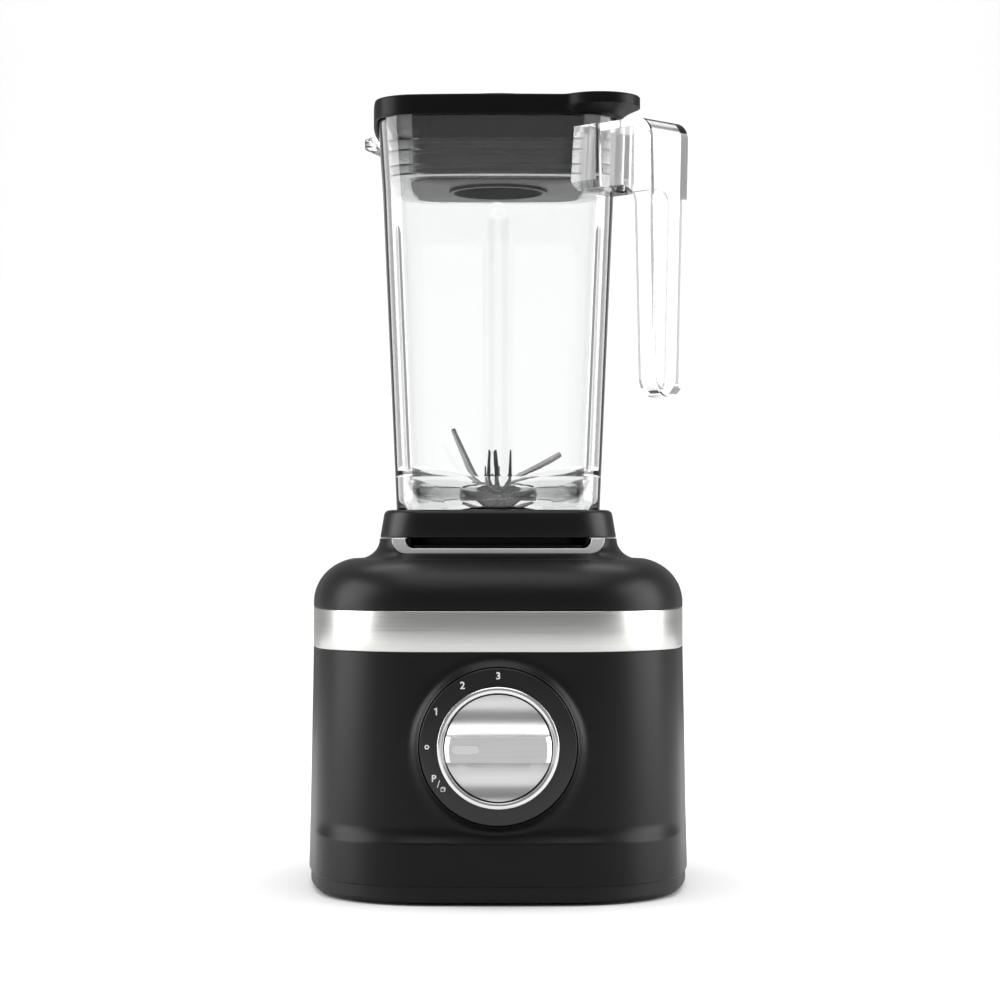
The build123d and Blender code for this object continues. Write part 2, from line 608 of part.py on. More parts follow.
def bearing(z0, z1):
    """Deep groove ball bearing drawn as its two rings and its seal, one solid."""
    ring = tube(BEARING_RADIUS, SHAFT_RADIUS + SHAFT_FIT, z0, z1)
    groove = tube(BEARING_RADIUS - 1.8, SHAFT_RADIUS + 1.8, z1 - 0.4, z1 + 1)
    return ring - groove - tube(BEARING_RADIUS - 1.8, SHAFT_RADIUS + 1.8, z0 - 1, z0 + 0.4)


def motor_bolts():
    """Long bolts from the upper bracket through stack, spacers and lower bracket into the rubber mounts."""
    bottom = MOTOR_SEAT_Z - 10
    return four(MOUNT_X, MOUNT_Y, lambda x, y: disc(1.9, bottom, UPPER_BRACKET_Z + 4, x, y)
                + disc(3.6, UPPER_BRACKET_Z + 4, UPPER_BRACKET_Z + 6.5, x, y))


def motor_spacers():
    """Sleeves that hold the brackets away from the field stack."""
    def pair(x, y):
        return [tube(4.4, 2.1, LOWER_BRACKET_Z + 4, STATOR_Z0, x, y), tube(4.4, 2.1, STATOR_Z1, UPPER_BRACKET_Z, x, y)]
    return [s for sx in (-1, 1) for sy in (-1, 1) for s in pair(sx * MOUNT_X, sy * MOUNT_Y)]


def rubber_mounts():
    return four(MOUNT_X, MOUNT_Y, lambda x, y: tube(6.5, 2.1, MOTOR_SEAT_Z, LOWER_BRACKET_Z, x, y))


BRUSH_Z = (COMMUTATOR_Z0 + COMMUTATOR_Z1) / 2
BRUSH_HALF = 2.6
BRUSH_END = 21.0
HOLDER_END = 34.0
SPRING_END = 0.4


def carbon_brushes():
    gap = COMMUTATOR_RADIUS + 0.15
    return [bar(min(s * gap, s * BRUSH_END), max(s * gap, s * BRUSH_END), -BRUSH_HALF, BRUSH_HALF,
                BRUSH_Z - BRUSH_HALF, BRUSH_Z + BRUSH_HALF) for s in (-1, 1)]


def brush_holders():
    """Brass tubes that guide the brushes, hung from the upper bracket."""
    holders = []
    for s in (-1, 1):
        x0, x1 = sorted((s * 13.5, s * HOLDER_END))
        c0, c1 = sorted((s * 12.0, s * (HOLDER_END - 1.5)))
        half = BRUSH_HALF + 1.2
        body = bar(x0, x1, -half, half, BRUSH_Z - half, BRUSH_Z + half)
        body -= bar(c0, c1, -BRUSH_HALF - SEAT, BRUSH_HALF + SEAT, BRUSH_Z - BRUSH_HALF - SEAT, BRUSH_Z + BRUSH_HALF + SEAT)
        m0, m1 = sorted((s * 20.0, s * 26.0))
        body += bar(m0, m1, -half, half, BRUSH_Z + half - 0.5, UPPER_BRACKET_Z + 2)
        holders.append(body)
    return holders


def brush_springs():
    springs = []
    for s in (-1, 1):
        length = HOLDER_END - 1.5 - BRUSH_END - 2 * SPRING_END
        path = Helix(pitch=length / 5, height=length, radius=1.7)
        profile = Plane(origin=path @ 0, z_dir=path % 0) * Circle(0.35)
        coil = sweep(profile, path)
        springs.append(Pos(s * (BRUSH_END + SPRING_END), 0, BRUSH_Z) * Rot(0, s * 90, 0) * coil)
    return springs


def air_baffle():
    """Ring under the fan that keeps the cooling air going out through the pan."""
    ring = tube(FAN_RADIUS + 5, FAN_RADIUS + 3, FOOT_HEIGHT + PAN_FLOOR, MOTOR_SEAT_Z - 2)
    for post in four(MOUNT_X, MOUNT_Y, lambda x, y: disc(6.5 + RUNNING, 0, 60, x, y)):
        ring -= post
    return ring


BOARD_X = -62.0
TERMINAL_BLOCK = 8.0
LEAD_RADIUS = 1.2


def control_board():
    """Upright circuit board on the left wall, in two slotted feet."""
    board = bar(BOARD_X - 0.8, BOARD_X + 0.8, -24, 38, 20, 78)
    for y in (-16, 30):
        board += bar(BOARD_X - 4, BOARD_X + 4, y - 3, y + 3, FOOT_HEIGHT + PAN_FLOOR, 24)
    return board


def board_parts():
    """Capacitor, choke, heat sink and terminal block on the board."""
    face = BOARD_X + 0.8
    capacitor = bar(face, face + 9, -22, -6, 44, 60)
    choke = Pos(face + 4.5, 8, 56) * Rot(0, 90, 0) * (Cylinder(9, 9) - Cylinder(4, 10))
    sink = bar(face, face + 2, 18, 34, 40, 66)
    for z in (42, 48, 54, 60):
        sink += bar(face, face + 9, 18, 34, z, z + 1.6)
    terminals = bar(face, face + TERMINAL_BLOCK, -22, 12, 26, 34)
    return [capacitor, choke, sink, terminals]


def lead(*points):
    """An insulated wire through hand-set points, with arcs as large as its runs allow."""
    vectors = [Vector(*p) for p in points]
    radii = []
    for before, at, after in zip(vectors, vectors[1:], vectors[2:]):
        turn = math.radians((at - before).get_angle(after - at))
        run = min((at - before).length, (after - at).length)
        radii.append(0.45 * run / math.tan(turn / 2))
    path = FilletPolyline(*[tuple(v) for v in vectors], radius=radii)
    profile = Plane(origin=path @ 0, z_dir=path % 0) * Circle(LEAD_RADIUS)
    return sweep(profile, path)


def wire_harness():
    """Leads from the board's terminals to two switch tags and the two coils, and from coils to brush holders."""
    face = BOARD_X + 0.8 + TERMINAL_BLOCK
    coil_end = -25.5
    coil_y = 26.1
    coil_top = STATOR_Z1 + 7
    tag_near, tag_far = TERMINAL_X[:2]
    switch_leads = [
        lead((face, -18, 30), (face + 4, -18, 30), (-49, -40, 34), (-36, -52, 50), (tag_near, -48, TERMINAL_Z),
             (tag_near, TERMINAL_END_Y, TERMINAL_Z)),
        lead((face, -13.5, 30), (face + 5, -13.5, 30), (-46.5, -38, 45), (-30, -46, 60), (tag_far, -42, TERMINAL_Z),
             (tag_far, TERMINAL_END_Y, TERMINAL_Z)),
    ]
    coil_leads = [
        lead((face, side * 4 - 3, 30), (face + 4.2, side * 4 - 3, 30), (-49, side * 8, 64), (-48.5, side * 20, 98),
             (-46, side * coil_y, coil_top - 3), (coil_end, side * coil_y, coil_top - 3)) for side in (-1, 1)]
    brush_leads = [
        lead((side * 22, side * coil_y, coil_top), (side * 22, side * coil_y, coil_top + 4), (side * 30, side * 12, BRUSH_Z),
             (side * 30, side * (BRUSH_HALF + 1.2), BRUSH_Z)) for side in (-1, 1)]
    return switch_leads + coil_leads + brush_leads


# ================= jar =================
def jar_plan(z, inset=0.0):
    """Jar outline at height z, from the three stations foot, waist and rim."""
    if z <= JAR_WAIST_Z:
        t = (z - JAR_FOOT_Z) / (JAR_WAIST_Z - JAR_FOOT_Z)
        half = JAR_FOOT_HALF + t * (JAR_WAIST_HALF - JAR_FOOT_HALF)
    else:
        t = (z - JAR_WAIST_Z) / (JAR_RIM_Z - JAR_WAIST_Z)
        half = JAR_WAIST_HALF + t * (JAR_RIM_HALF - JAR_WAIST_HALF)
    return square_plan(z, half, JAR_CORNER, inset)


def jar_half(z):
    return jar_plan(z).bounding_box().max.X


def jar_outside():
    return loft([jar_plan(JAR_FOOT_Z), jar_plan(JAR_WAIST_Z), jar_plan(JAR_RIM_Z)], ruled=True)


def jar():
    """Clear moulded jar: tapered walls, flutes that stand in from the middle of each wall, a floor that
    rises into the corners, and a pouring spout on the rear left corner."""
    outer = jar_outside()
    along = Pos((SPOUT_REACH + 60) / 2 - SPOUT_WIDTH / 4, 0) * Rectangle(SPOUT_REACH - 60 - SPOUT_WIDTH / 2, SPOUT_WIDTH)
    lip = Pos(SPOUT_REACH - SPOUT_WIDTH / 2, 0) * Circle(SPOUT_WIDTH / 2) + along
    low = Pos(64, 0) * Circle(4)
    spout = loft([Pos(0, 0, JAR_RIM_Z - SPOUT_DEPTH) * low.face(), Pos(0, 0, JAR_RIM_Z - 5) * lip.face()])
    spout += extrude(Pos(0, 0, JAR_RIM_Z - 5) * lip, 5)
    spout = spout.rotate(Axis.Z, 135)
    outer += spout
    low_cavity = loft([Pos(0, 0, JAR_FLOOR_Z) * Circle(JAR_FLOOR_RADIUS - 1.5).face(),
                       jar_plan(JAR_CORNER_FLOOR_Z, JAR_WALL)])
    cavity = loft([jar_plan(JAR_CORNER_FLOOR_Z, JAR_WALL), jar_plan(JAR_WAIST_Z, JAR_WALL)], ruled=True)
    cavity += loft([jar_plan(JAR_WAIST_Z, JAR_WALL), jar_plan(JAR_RIM_Z + 0.01, JAR_WALL)], ruled=True)
    for quarter in range(4):
        cavity -= rib().rotate(Axis.Z, 90 * quarter)
    inner_lip = Pos(SPOUT_REACH - SPOUT_WIDTH / 2, 0) * Circle(SPOUT_WIDTH / 2 - JAR_WALL) + Pos(
        (SPOUT_REACH + 40) / 2 - SPOUT_WIDTH / 4, 0) * Rectangle(SPOUT_REACH - 40 - SPOUT_WIDTH / 2, SPOUT_WIDTH - 2 * JAR_WALL)
    throat = loft([Pos(0, 0, JAR_RIM_Z - SPOUT_DEPTH + 4) * (Pos(61, 0) * Circle(2.4)).face(),
                   Pos(0, 0, JAR_RIM_Z + 0.01) * inner_lip.face()])
    shell = outer - cavity - low_cavity - throat.rotate(Axis.Z, 135)
    return shell - disc(HOUSING_BOSS_RADIUS + SEAT, 170, 200)


def rib():
    """One flute on the +Y wall, from the floor to a rounded top."""
    section = Pos(0, 0) * Circle(RIB_WIDTH / 2)
    lean = math.atan((JAR_WAIST_HALF - JAR_FOOT_HALF) / (JAR_WAIST_Z - JAR_FOOT_Z))
    foot_y = jar_half(JAR_FLOOR_Z) - JAR_WALL - RIB_DEPTH + RIB_WIDTH / 2
    length = RIB_TOP_Z - RIB_WIDTH / 2 - JAR_FLOOR_Z + 14
    post = extrude(section, length) + Pos(0, 0, length) * Sphere(RIB_WIDTH / 2)
    return Pos(0, foot_y - 14 * math.tan(lean), JAR_FLOOR_Z - 14) * Rot(-math.degrees(lean), 0, 0) * post


HANDLE_BEND = 9.0           # outer bend radius where arm turns into grip
HANDLE_PAD_WIDTH = 30.0
HANDLE_PAD = 80.0           # the arm is solid up to here, where it is moulded to the jar's corner


def handle_front(inset, tip_z):
    """The grip's outline seen along the diagonal, tapering to a round tip, as a prism."""
    top = HANDLE_TOP_WIDTH / 2 - inset
    end = HANDLE_TIP_WIDTH / 2 - inset
    low = tip_z + end
    sides = make_face(Polyline((-top, HANDLE_TOP_Z), (top, HANDLE_TOP_Z), (end, low), (-end, low), close=True))
    outline = sides + Pos(0, low) * Circle(end)
    return extrude(Plane(origin=(40, 0, 0), x_dir=(0, 1, 0), z_dir=(1, 0, 0)) * outline, 100)


def handle_side(corners, bends):
    """A prism across the handle, drawn in the plane of the diagonal; bends maps a corner to its radius."""
    section = make_face(Polyline(*corners, close=True))
    for index, radius in bends.items():
        x, z = corners[index]
        section = fillet(section.vertices().sort_by_distance((x, z, 0))[0], radius)
    return extrude(Plane.XZ * section, HANDLE_TOP_WIDTH, both=True)


def on_corner_pad():
    """Thickened pad where the arm meets the jar, with rounded lower corners."""
    low = HANDLE_ARM_Z - 1.2
    outline = Pos(0, (HANDLE_TOP_Z + low) / 2) * Rectangle(HANDLE_PAD_WIDTH, HANDLE_TOP_Z - low)
    outline = fillet(outline.vertices().sort_by(Axis.Y)[:2], 7)
    return extrude(Plane(origin=(52, 0, 0), x_dir=(0, 1, 0), z_dir=(1, 0, 0)) * outline, HANDLE_PAD - 52)


def jar_handle():
    """Open channel grip, hanging from an arm on the front right corner."""
    inner = HANDLE_REACH - HANDLE_CHANNEL
    blank = handle_side(
        [(52, HANDLE_TOP_Z), (HANDLE_REACH, HANDLE_TOP_Z), (HANDLE_REACH, HANDLE_TIP_Z), (inner, HANDLE_TIP_Z),
         (inner, HANDLE_ARM_Z), (52, HANDLE_ARM_Z)],
        {1: HANDLE_BEND, 4: HANDLE_BEND})
    roof = HANDLE_TOP_Z - HANDLE_WALL
    web = HANDLE_REACH - HANDLE_WALL
    hollow = handle_side(
        [(HANDLE_PAD, roof), (web, roof), (web, HANDLE_TIP_Z - 5), (HANDLE_PAD, HANDLE_TIP_Z - 5)],
        {1: HANDLE_BEND - HANDLE_WALL})
    grip = blank & handle_front(0, HANDLE_TIP_Z)
    grip -= hollow & handle_front(HANDLE_WALL, HANDLE_TIP_Z + HANDLE_WALL)
    grip += on_corner_pad()
    return on_diagonal(grip) - jar_outside()


HOUSING_BOSS_RADIUS = 15.0
HUB_TOP_Z = 193.4


def jar_collar():
    """Black collar under the jar, with the skirt that drops over the plateau."""
    outer = loft([square_plan(COLLAR_BOTTOM_Z, COLLAR_FOOT_HALF, NECK_CORNER), square_plan(COLLAR_TOP_Z, COLLAR_TOP_HALF,
                                                                                        NECK_CORNER - 2)], ruled=True)
    under = loft([square_plan(COLLAR_BOTTOM_Z - 1, PLATEAU_HALF + 0.8, 16.5), square_plan(177.6, PLATEAU_HALF + 0.8, 16.5)])
    socket = loft([square_plan(JAR_FOOT_Z - 0.4, JAR_FOOT_HALF + 0.25, JAR_CORNER + 0.3),
                   square_plan(COLLAR_TOP_Z + 1, JAR_FOOT_HALF + 0.3, JAR_CORNER + 0.3)])
    collar = outer - under - socket
    return collar - disc(HOUSING_BOSS_RADIUS + 1.6, 150, 200)


def jar_gasket():
    """Flat seal between jar floor and blade housing flange."""
    return tube(21.0, HOUSING_BOSS_RADIUS + 0.2, JAR_FLOOR_Z, JAR_FLOOR_Z + 1.0)


def blade_housing():
    """Bearing carrier that clamps through the jar floor into the collar."""
    body = disc(HOUSING_BOSS_RADIUS, 181.6, JAR_FLOOR_Z + 1.0)
    body += disc(20.5, JAR_FLOOR_Z + 1.0, JAR_FLOOR_Z + 3.0)
    body += Pos(0, 0, (JAR_FLOOR_Z + 3 + HUB_TOP_Z) / 2) * Cone(13, 8.5, HUB_TOP_Z - JAR_FLOOR_Z - 3)
    body -= disc(BUSH_RADIUS, 170, 200)
    return body


BLADE_SHAFT = 3.5
BUSH_RADIUS = 6.5


def blade_bushes():
    return [tube(BUSH_RADIUS, BLADE_SHAFT + SHAFT_FIT, 181.8, 185.4),
            tube(BUSH_RADIUS, BLADE_SHAFT + SHAFT_FIT, 188.0, HUB_TOP_Z - 1.4)]


def blade_seal():
    return tube(BUSH_RADIUS, BLADE_SHAFT + SHAFT_FIT, HUB_TOP_Z - 1.2, HUB_TOP_Z)


def collar_ring():
    """Threaded ring under the jar that draws the blade housing down on its gasket."""
    outer = HOUSING_BOSS_RADIUS + 1.5
    return tube(outer, 14.2, 177.8, 181.5) + tube(outer, HOUSING_BOSS_RADIUS + SEAT, 181.4, JAR_FOOT_Z)


BLADE_Z = 194.2
BLADE_THICKNESS = 1.5


def blade_shaft():
    return disc(BLADE_SHAFT, COUPLER_TOP_Z + 1.0, BLADE_Z + 2 * BLADE_THICKNESS + 3.4)


def wing(reach, root_width, tip_width, rise, bend_at, twist=0):
    """One blade wing: a flat root, then a tapered outer part bent up by rise and twisted on its length."""
    flat = bar(0, bend_at, -root_width / 2, root_width / 2, 0, BLADE_THICKNESS)
    half = root_width / 2
    lap = -1 if rise < 0 else -0.01 - 0.3 * math.sin(math.radians(twist))
    outline = Polyline((lap, -half), (0, -half), (reach, 1 - tip_width / 2), (reach, 1 + tip_width / 2), (0, half),
                       (lap, half), close=True)
    outer = extrude(make_face(outline), BLADE_THICKNESS)
    outer = fillet(outer.edges().filter_by(Axis.Z).group_by(Axis.X)[-1], tip_width * 0.35)
    if twist:
        lift = half * math.sin(math.radians(twist)) * 0.9
        outer = Pos(0, 0, BLADE_THICKNESS / 2 + lift) * Rot(twist, 0, 0) * Pos(0, 0, -BLADE_THICKNESS / 2) * outer
    return flat + Pos(bend_at, 0, 0) * Rot(0, -rise, 0) * outer


def blade_plate(z, wings):
    plate = disc(7.5, 0, BLADE_THICKNESS)
    for heading, shape in wings:
        plate += Rot(0, 0, heading) * shape
    return Pos(0, 0, z) * plate - disc(BLADE_SHAFT, 170, 210)


def lower_blade():
    """Two steep wings front and rear, and two short ones that dip towards the floor."""
    return blade_plate(BLADE_Z, [(-82, wing(20, 9, 3, 68, 10)), (98, wing(12.4, 9, 4, 68, 10)),
                                 (186, wing(10, 9, 3, -26, 10)), (6, wing(10, 9, 3, -26, 10))])


def upper_blade():
    """One steep wing and one long shallow wing."""
    return blade_plate(BLADE_Z + BLADE_THICKNESS, [(-9, wing(28, 10, 5, 29, 8, 20)), (173, wing(30, 10, 3, 66, 13, 22))])


def blade_nut():
    top = BLADE_Z + 2 * BLADE_THICKNESS
    nut = Pos(0, 0, top) * extrude(RegularPolygon(6.0, 6), 4.2)
    return nut - disc(BLADE_SHAFT, 170, 210)


def thrust_washer():
    return tube(6.4, BLADE_SHAFT, HUB_TOP_Z + 0.1, BLADE_Z)


def jar_coupler():
    """Driven dog under the jar: a cup with a splined socket that drops over the drive coupler."""
    cup = disc(13.2, COUPLER_BASE_Z + 4, 181.0)
    socket = extrude(star(COUPLER_BASE_Z + 3, COUPLER_ROOT, COUPLER_TIP, COUPLER_TEETH, 0.35), COUPLER_TOP_Z + 0.6 - COUPLER_BASE_Z - 3)
    return cup - socket - disc(BLADE_SHAFT, COUPLER_TOP_Z + 1.0, 200)


# ================= lid =================
def lid():
    """Lid with a skirt over the rim, a hollow plug, a round filling hole and a thumb tab over the handle."""
    top = loft([square_plan(LID_SKIRT_Z, LID_HALF, JAR_CORNER + 1.8), square_plan(LID_TOP_Z, LID_HALF, JAR_CORNER + 1.8)])
    top = chamfer(top.edges().group_by(Axis.Z)[-1], 0.8)
    tab_round = TAB_WIDTH / 2
    tab = Pos(TAB_REACH - tab_round, 0) * Circle(tab_round) + Pos((TAB_REACH - tab_round) / 2 + 20, 0) * Rectangle(
        TAB_REACH - tab_round - 40, TAB_WIDTH)
    tab = on_diagonal(Pos(0, 0, LID_TOP_Z - 5.2) * extrude(tab, 5.2))
    top += tab
    recess = loft([jar_plan_flat(LID_SKIRT_Z - 1, JAR_RIM_HALF + RUNNING), jar_plan_flat(JAR_RIM_Z + 0.1, JAR_RIM_HALF + RUNNING)])
    top -= recess
    spout_room = extrude(Pos(0, 0, LID_SKIRT_Z - 1) * Rectangle(120, SPOUT_WIDTH + 1.2), JAR_RIM_Z + 0.1 - LID_SKIRT_Z + 1)
    top -= Pos(-60 / math.sqrt(2), 60 / math.sqrt(2), 0) * spout_room.rotate(Axis.Z, 135)
    plug = loft([square_plan(PLUG_BOTTOM_Z, PLUG_HALF - 0.8, 12), square_plan(LID_TOP_Z - 2, PLUG_HALF, 12.5)])
    plug -= loft([square_plan(PLUG_BOTTOM_Z + 2.5, PLUG_HALF - 3, 10), square_plan(LID_TOP_Z - 2.5, PLUG_HALF - 3, 10)])
    top += plug
    top += tube(CAP_RADIUS + RUNNING + 2.0, CAP_RADIUS + RUNNING, PLUG_BOTTOM_Z, LID_TOP_Z - 1)
    top -= disc(CAP_RADIUS + RUNNING, PLUG_BOTTOM_Z - 5, LID_TOP_Z + 5)
    return top - disc(CAP_FLANGE_RADIUS + RUNNING, LID_TOP_Z - 1.6, LID_TOP_Z + 5)


def jar_plan_flat(z, half):
    return square_plan(z, half, JAR_CORNER + (half - JAR_RIM_HALF))


FIN_LEVELS = [PLUG_BOTTOM_Z + rise for rise in (17.2, 12.2, 5.2, 0.8)]


def lid_gasket():
    """Clear silicone sleeve on the plug, with four fins that wipe the inside of the jar."""
    sleeve = loft([square_plan(FIN_LEVELS[-1] - 0.4, PLUG_HALF + 1.4, 13.9), square_plan(FIN_LEVELS[0] + 2.4, PLUG_HALF + 1.4, 13.9)])
    for z in FIN_LEVELS:
        reach = jar_half(z) - JAR_WALL - 0.4
        sleeve += loft([square_plan(z, reach, JAR_CORNER - JAR_WALL - 0.4), square_plan(z + 0.9, reach, JAR_CORNER - JAR_WALL - 0.4)])
    return sleeve - loft([square_plan(z, PLUG_HALF + SEAT, 12.6) for z in (PLUG_BOTTOM_Z - 2, FIN_LEVELS[0] + 4)])


def ingredient_cap():
    """Small measuring cap: a cup, open downwards, with a flange that rests in the lid."""
    body = disc(CAP_RADIUS, PLUG_BOTTOM_Z - 1.2, LID_TOP_Z)
    body += disc(CAP_FLANGE_RADIUS, LID_TOP_Z - 1.6, CAP_TOP_Z)
    body = fillet(body.edges().group_by(Axis.Z)[-1], 2.5)
    body -= disc(CAP_RADIUS - CAP_WALL, PLUG_BOTTOM_Z - 3, CAP_TOP_Z - 3.0)
    return body


for node, made in {
    "base_pan": base_pan(),
    "rubber_feet": rubber_feet(),
    "pan_screws": pan_screws(),
    "lower_housing": lower_housing(),
    "cord_grommet": cord_grommet(),
    "trim_band": trim_band(),
    "upper_housing": upper_housing(),
    "seat_trim": seat_trim(),
    "jar_pad": jar_pad(),
    "shaft_seal": shaft_seal(),
    "pad_screws": pad_screws(),
    "dial_plate": dial_plate(),
    "knob_bezel": knob_bezel(),
    "knob": knob(),
    "knob_pointer": knob_pointer(),
    "rotary_switch": rotary_switch(),
    "switch_nut": switch_nut(),
    "switch_shaft": switch_shaft(),
    "motor_stator": motor_stator(),
    "field_coils": field_coils(),
    "armature_core": armature_core(),
    "armature_windings": armature_windings(),
    "commutator": commutator(),
    "motor_shaft": motor_shaft(),
    "cooling_fan": cooling_fan(),
    "drive_coupler": drive_coupler(),
    "lower_bracket": bracket(LOWER_BRACKET_Z, LOWER_BRACKET_Z + 4, LOWER_BRACKET_Z - 3, LOWER_BRACKET_Z + 4),
    "upper_bracket": bracket(UPPER_BRACKET_Z, UPPER_BRACKET_Z + 4, UPPER_BRACKET_Z, UPPER_BRACKET_Z + 7),
    "lower_bearing": bearing(LOWER_BRACKET_Z - 3, LOWER_BRACKET_Z + 4),
    "upper_bearing": bearing(UPPER_BRACKET_Z, UPPER_BRACKET_Z + 7),
    "motor_bolts": motor_bolts(),
    "motor_spacers": motor_spacers(),
    "rubber_mounts": rubber_mounts(),
    "carbon_brushes": carbon_brushes(),
    "brush_holders": brush_holders(),
    "brush_springs": brush_springs(),
    "air_baffle": air_baffle(),
    "control_board": control_board(),
    "board_parts": board_parts(),
    "wire_harness": wire_harness(),
    "jar": jar(),
    "jar_handle": jar_handle(),
    "jar_collar": jar_collar(),
    "jar_gasket": jar_gasket(),
    "blade_housing": blade_housing(),
    "blade_bushes": blade_bushes(),
    "blade_seal": blade_seal(),
    "collar_ring": collar_ring(),
    "blade_shaft": blade_shaft(),
    "lower_blade": lower_blade(),
    "upper_blade": upper_blade(),
    "blade_nut": blade_nut(),
    "thrust_washer": thrust_washer(),
    "jar_coupler": jar_coupler(),
    "lid": lid(),
    "lid_gasket": lid_gasket(),
    "ingredient_cap": ingredient_cap(),
}.items():
    save(node, *(made if isinstance(made, list) else [made]))
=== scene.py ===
import json
import math

import bmesh
import bpy
import numpy as np
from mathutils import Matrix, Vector


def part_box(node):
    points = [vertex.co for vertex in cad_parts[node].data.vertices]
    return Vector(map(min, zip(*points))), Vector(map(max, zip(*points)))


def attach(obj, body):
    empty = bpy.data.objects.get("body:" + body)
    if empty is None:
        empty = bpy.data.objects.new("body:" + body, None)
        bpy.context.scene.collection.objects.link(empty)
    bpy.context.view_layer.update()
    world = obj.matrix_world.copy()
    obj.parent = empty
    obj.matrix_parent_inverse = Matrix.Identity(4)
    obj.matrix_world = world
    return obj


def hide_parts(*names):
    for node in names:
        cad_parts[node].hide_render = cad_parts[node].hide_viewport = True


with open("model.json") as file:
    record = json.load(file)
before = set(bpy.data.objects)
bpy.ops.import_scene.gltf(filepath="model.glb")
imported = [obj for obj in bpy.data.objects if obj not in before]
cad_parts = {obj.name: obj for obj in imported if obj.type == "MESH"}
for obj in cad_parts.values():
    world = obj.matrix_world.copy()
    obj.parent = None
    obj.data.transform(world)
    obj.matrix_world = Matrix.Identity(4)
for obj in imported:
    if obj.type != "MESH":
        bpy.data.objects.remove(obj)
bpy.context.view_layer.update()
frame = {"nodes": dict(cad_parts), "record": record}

# ---------------------------------------------------------------- camera, light and paper
# A long lens, level, a little under half the blender's height, with the picture shifted down to its foot.
# The room is a white paper sweep, one overhead bank, two tall side banks and a dim front.
lens = bpy.data.cameras.new("camera")
lens.lens, lens.sensor_width = 90, 36
lens.shift_x, lens.shift_y = 0.0018, 0.04
lens.clip_end = 30
camera = bpy.data.objects.new("camera", lens)
camera.location = (0, -1.2443, 0.1689)
camera.rotation_euler = (math.radians(90), 0, 0)
bpy.context.scene.collection.objects.link(camera)
bpy.context.scene.camera = camera
bpy.context.scene.view_settings.view_transform = "Standard"


def softbox(name, place, aim, width, height, power):
    """A rectangular bank of light that faces a point."""
    bank = bpy.data.lights.new(name, "AREA")
    bank.shape, bank.size, bank.size_y, bank.energy = "RECTANGLE", width, height, power
    holder = bpy.data.objects.new(name, bank)
    holder.location = place
    holder.rotation_euler = (Vector(aim) - Vector(place)).to_track_quat("-Z", "Y").to_euler()
    holder.visible_transmission = False
    bpy.context.scene.collection.objects.link(holder)


softbox("overhead_bank", (0, -0.1, 1.5), (0, 0, 0.2), 1.3, 1.1, 15)
softbox("left_bank", (-1.25, -0.1, 0.5), (0, -0.02, 0.2), 0.9, 1.2, 20)
softbox("right_bank", (1.25, -0.1, 0.5), (0, -0.02, 0.2), 0.9, 1.2, 20)
softbox("backdrop_bank", (0, 1.3, 2.4), (0, 2.5, 0.4), 2.6, 1.0, 52)
softbox("rear_view_bank", (0, -1.5, 2.4), (0, -2.6, 0.4), 2.6, 1.0, 20)

room = bpy.data.worlds.new("room")
room.use_nodes = True
room.node_tree.nodes["Background"].inputs["Color"].default_value = (1, 1, 1, 1)
room.node_tree.nodes["Background"].inputs["Strength"].default_value = 0.32
bpy.context.scene.world = room

paper = bpy.data.materials.new("white_paper")
paper.use_nodes = True
paper.node_tree.nodes["Principled BSDF"].inputs["Base Color"].default_value = (0.735, 0.735, 0.735, 1)
paper.node_tree.nodes["Principled BSDF"].inputs["Roughness"].default_value = 0.9
paper.node_tree.nodes["Principled BSDF"].inputs["Specular IOR Level"].default_value = 0.1


def laid_paper(name, line):
    """White paper, drawn out to both sides along a line in Y and Z."""
    mesh = bpy.data.meshes.new(name)
    mesh.from_pydata([(x, y, z) for x in (-4.0, 4.0) for y, z in line], [],
                     [(i, i + len(line), i + len(line) + 1, i + 1) for i in range(len(line) - 1)])
    mesh.materials.append(paper)
    mesh.shade_smooth()
    laid = bpy.data.objects.new(name, mesh)
    bpy.context.scene.collection.objects.link(laid)
    return laid


laid_paper("paper_floor", [(-1.6, 0.0), (1.0, 0.0)])
rising = [(1.6 + math.sin(a), 1 - math.cos(a)) for a in np.linspace(0.1, math.pi / 2, 14)]
laid_paper("paper_wall", [(1.0, 0.0), (1.6, 0.0), *rising, (2.6, 2.8)]).visible_glossy = False
behind_camera = laid_paper("paper_behind_camera", [(-2.6, 2.8), *[(-y, z) for y, z in rising[::-1]], (-1.6, 0.0)])
behind_camera.visible_glossy = behind_camera.visible_diffuse = False


# ---------------------------------------------------------------- base pan
# The floor of the base: black ABS, injection moulded, with the fine texture of a spark-eroded tool.
# It carries the motor posts and the four feet, and four screws draw it up into the housing.
class Wire:
    """One output of a node, which takes part in sums so that a pattern reads as a formula."""

    def __init__(self, finish, socket):
        self.finish, self.socket = finish, socket

    def _sum(self, operation, first, second):
        return self.finish.node("ShaderNodeMath", {"operation": operation}, {0: first, 1: second})

    def __add__(self, other):
        return self._sum("ADD", self, other)

    def __radd__(self, other):
        return self._sum("ADD", other, self)

    def __sub__(self, other):
        return self._sum("SUBTRACT", self, other)

    def __rsub__(self, other):
        return self._sum("SUBTRACT", other, self)

    def __mul__(self, other):
        return self._sum("MULTIPLY", self, other)

    def __rmul__(self, other):
        return self._sum("MULTIPLY", other, self)

    def __truediv__(self, other):
        return self._sum("DIVIDE", self, other)

    def __pow__(self, other):
        return self._sum("POWER", self, other)


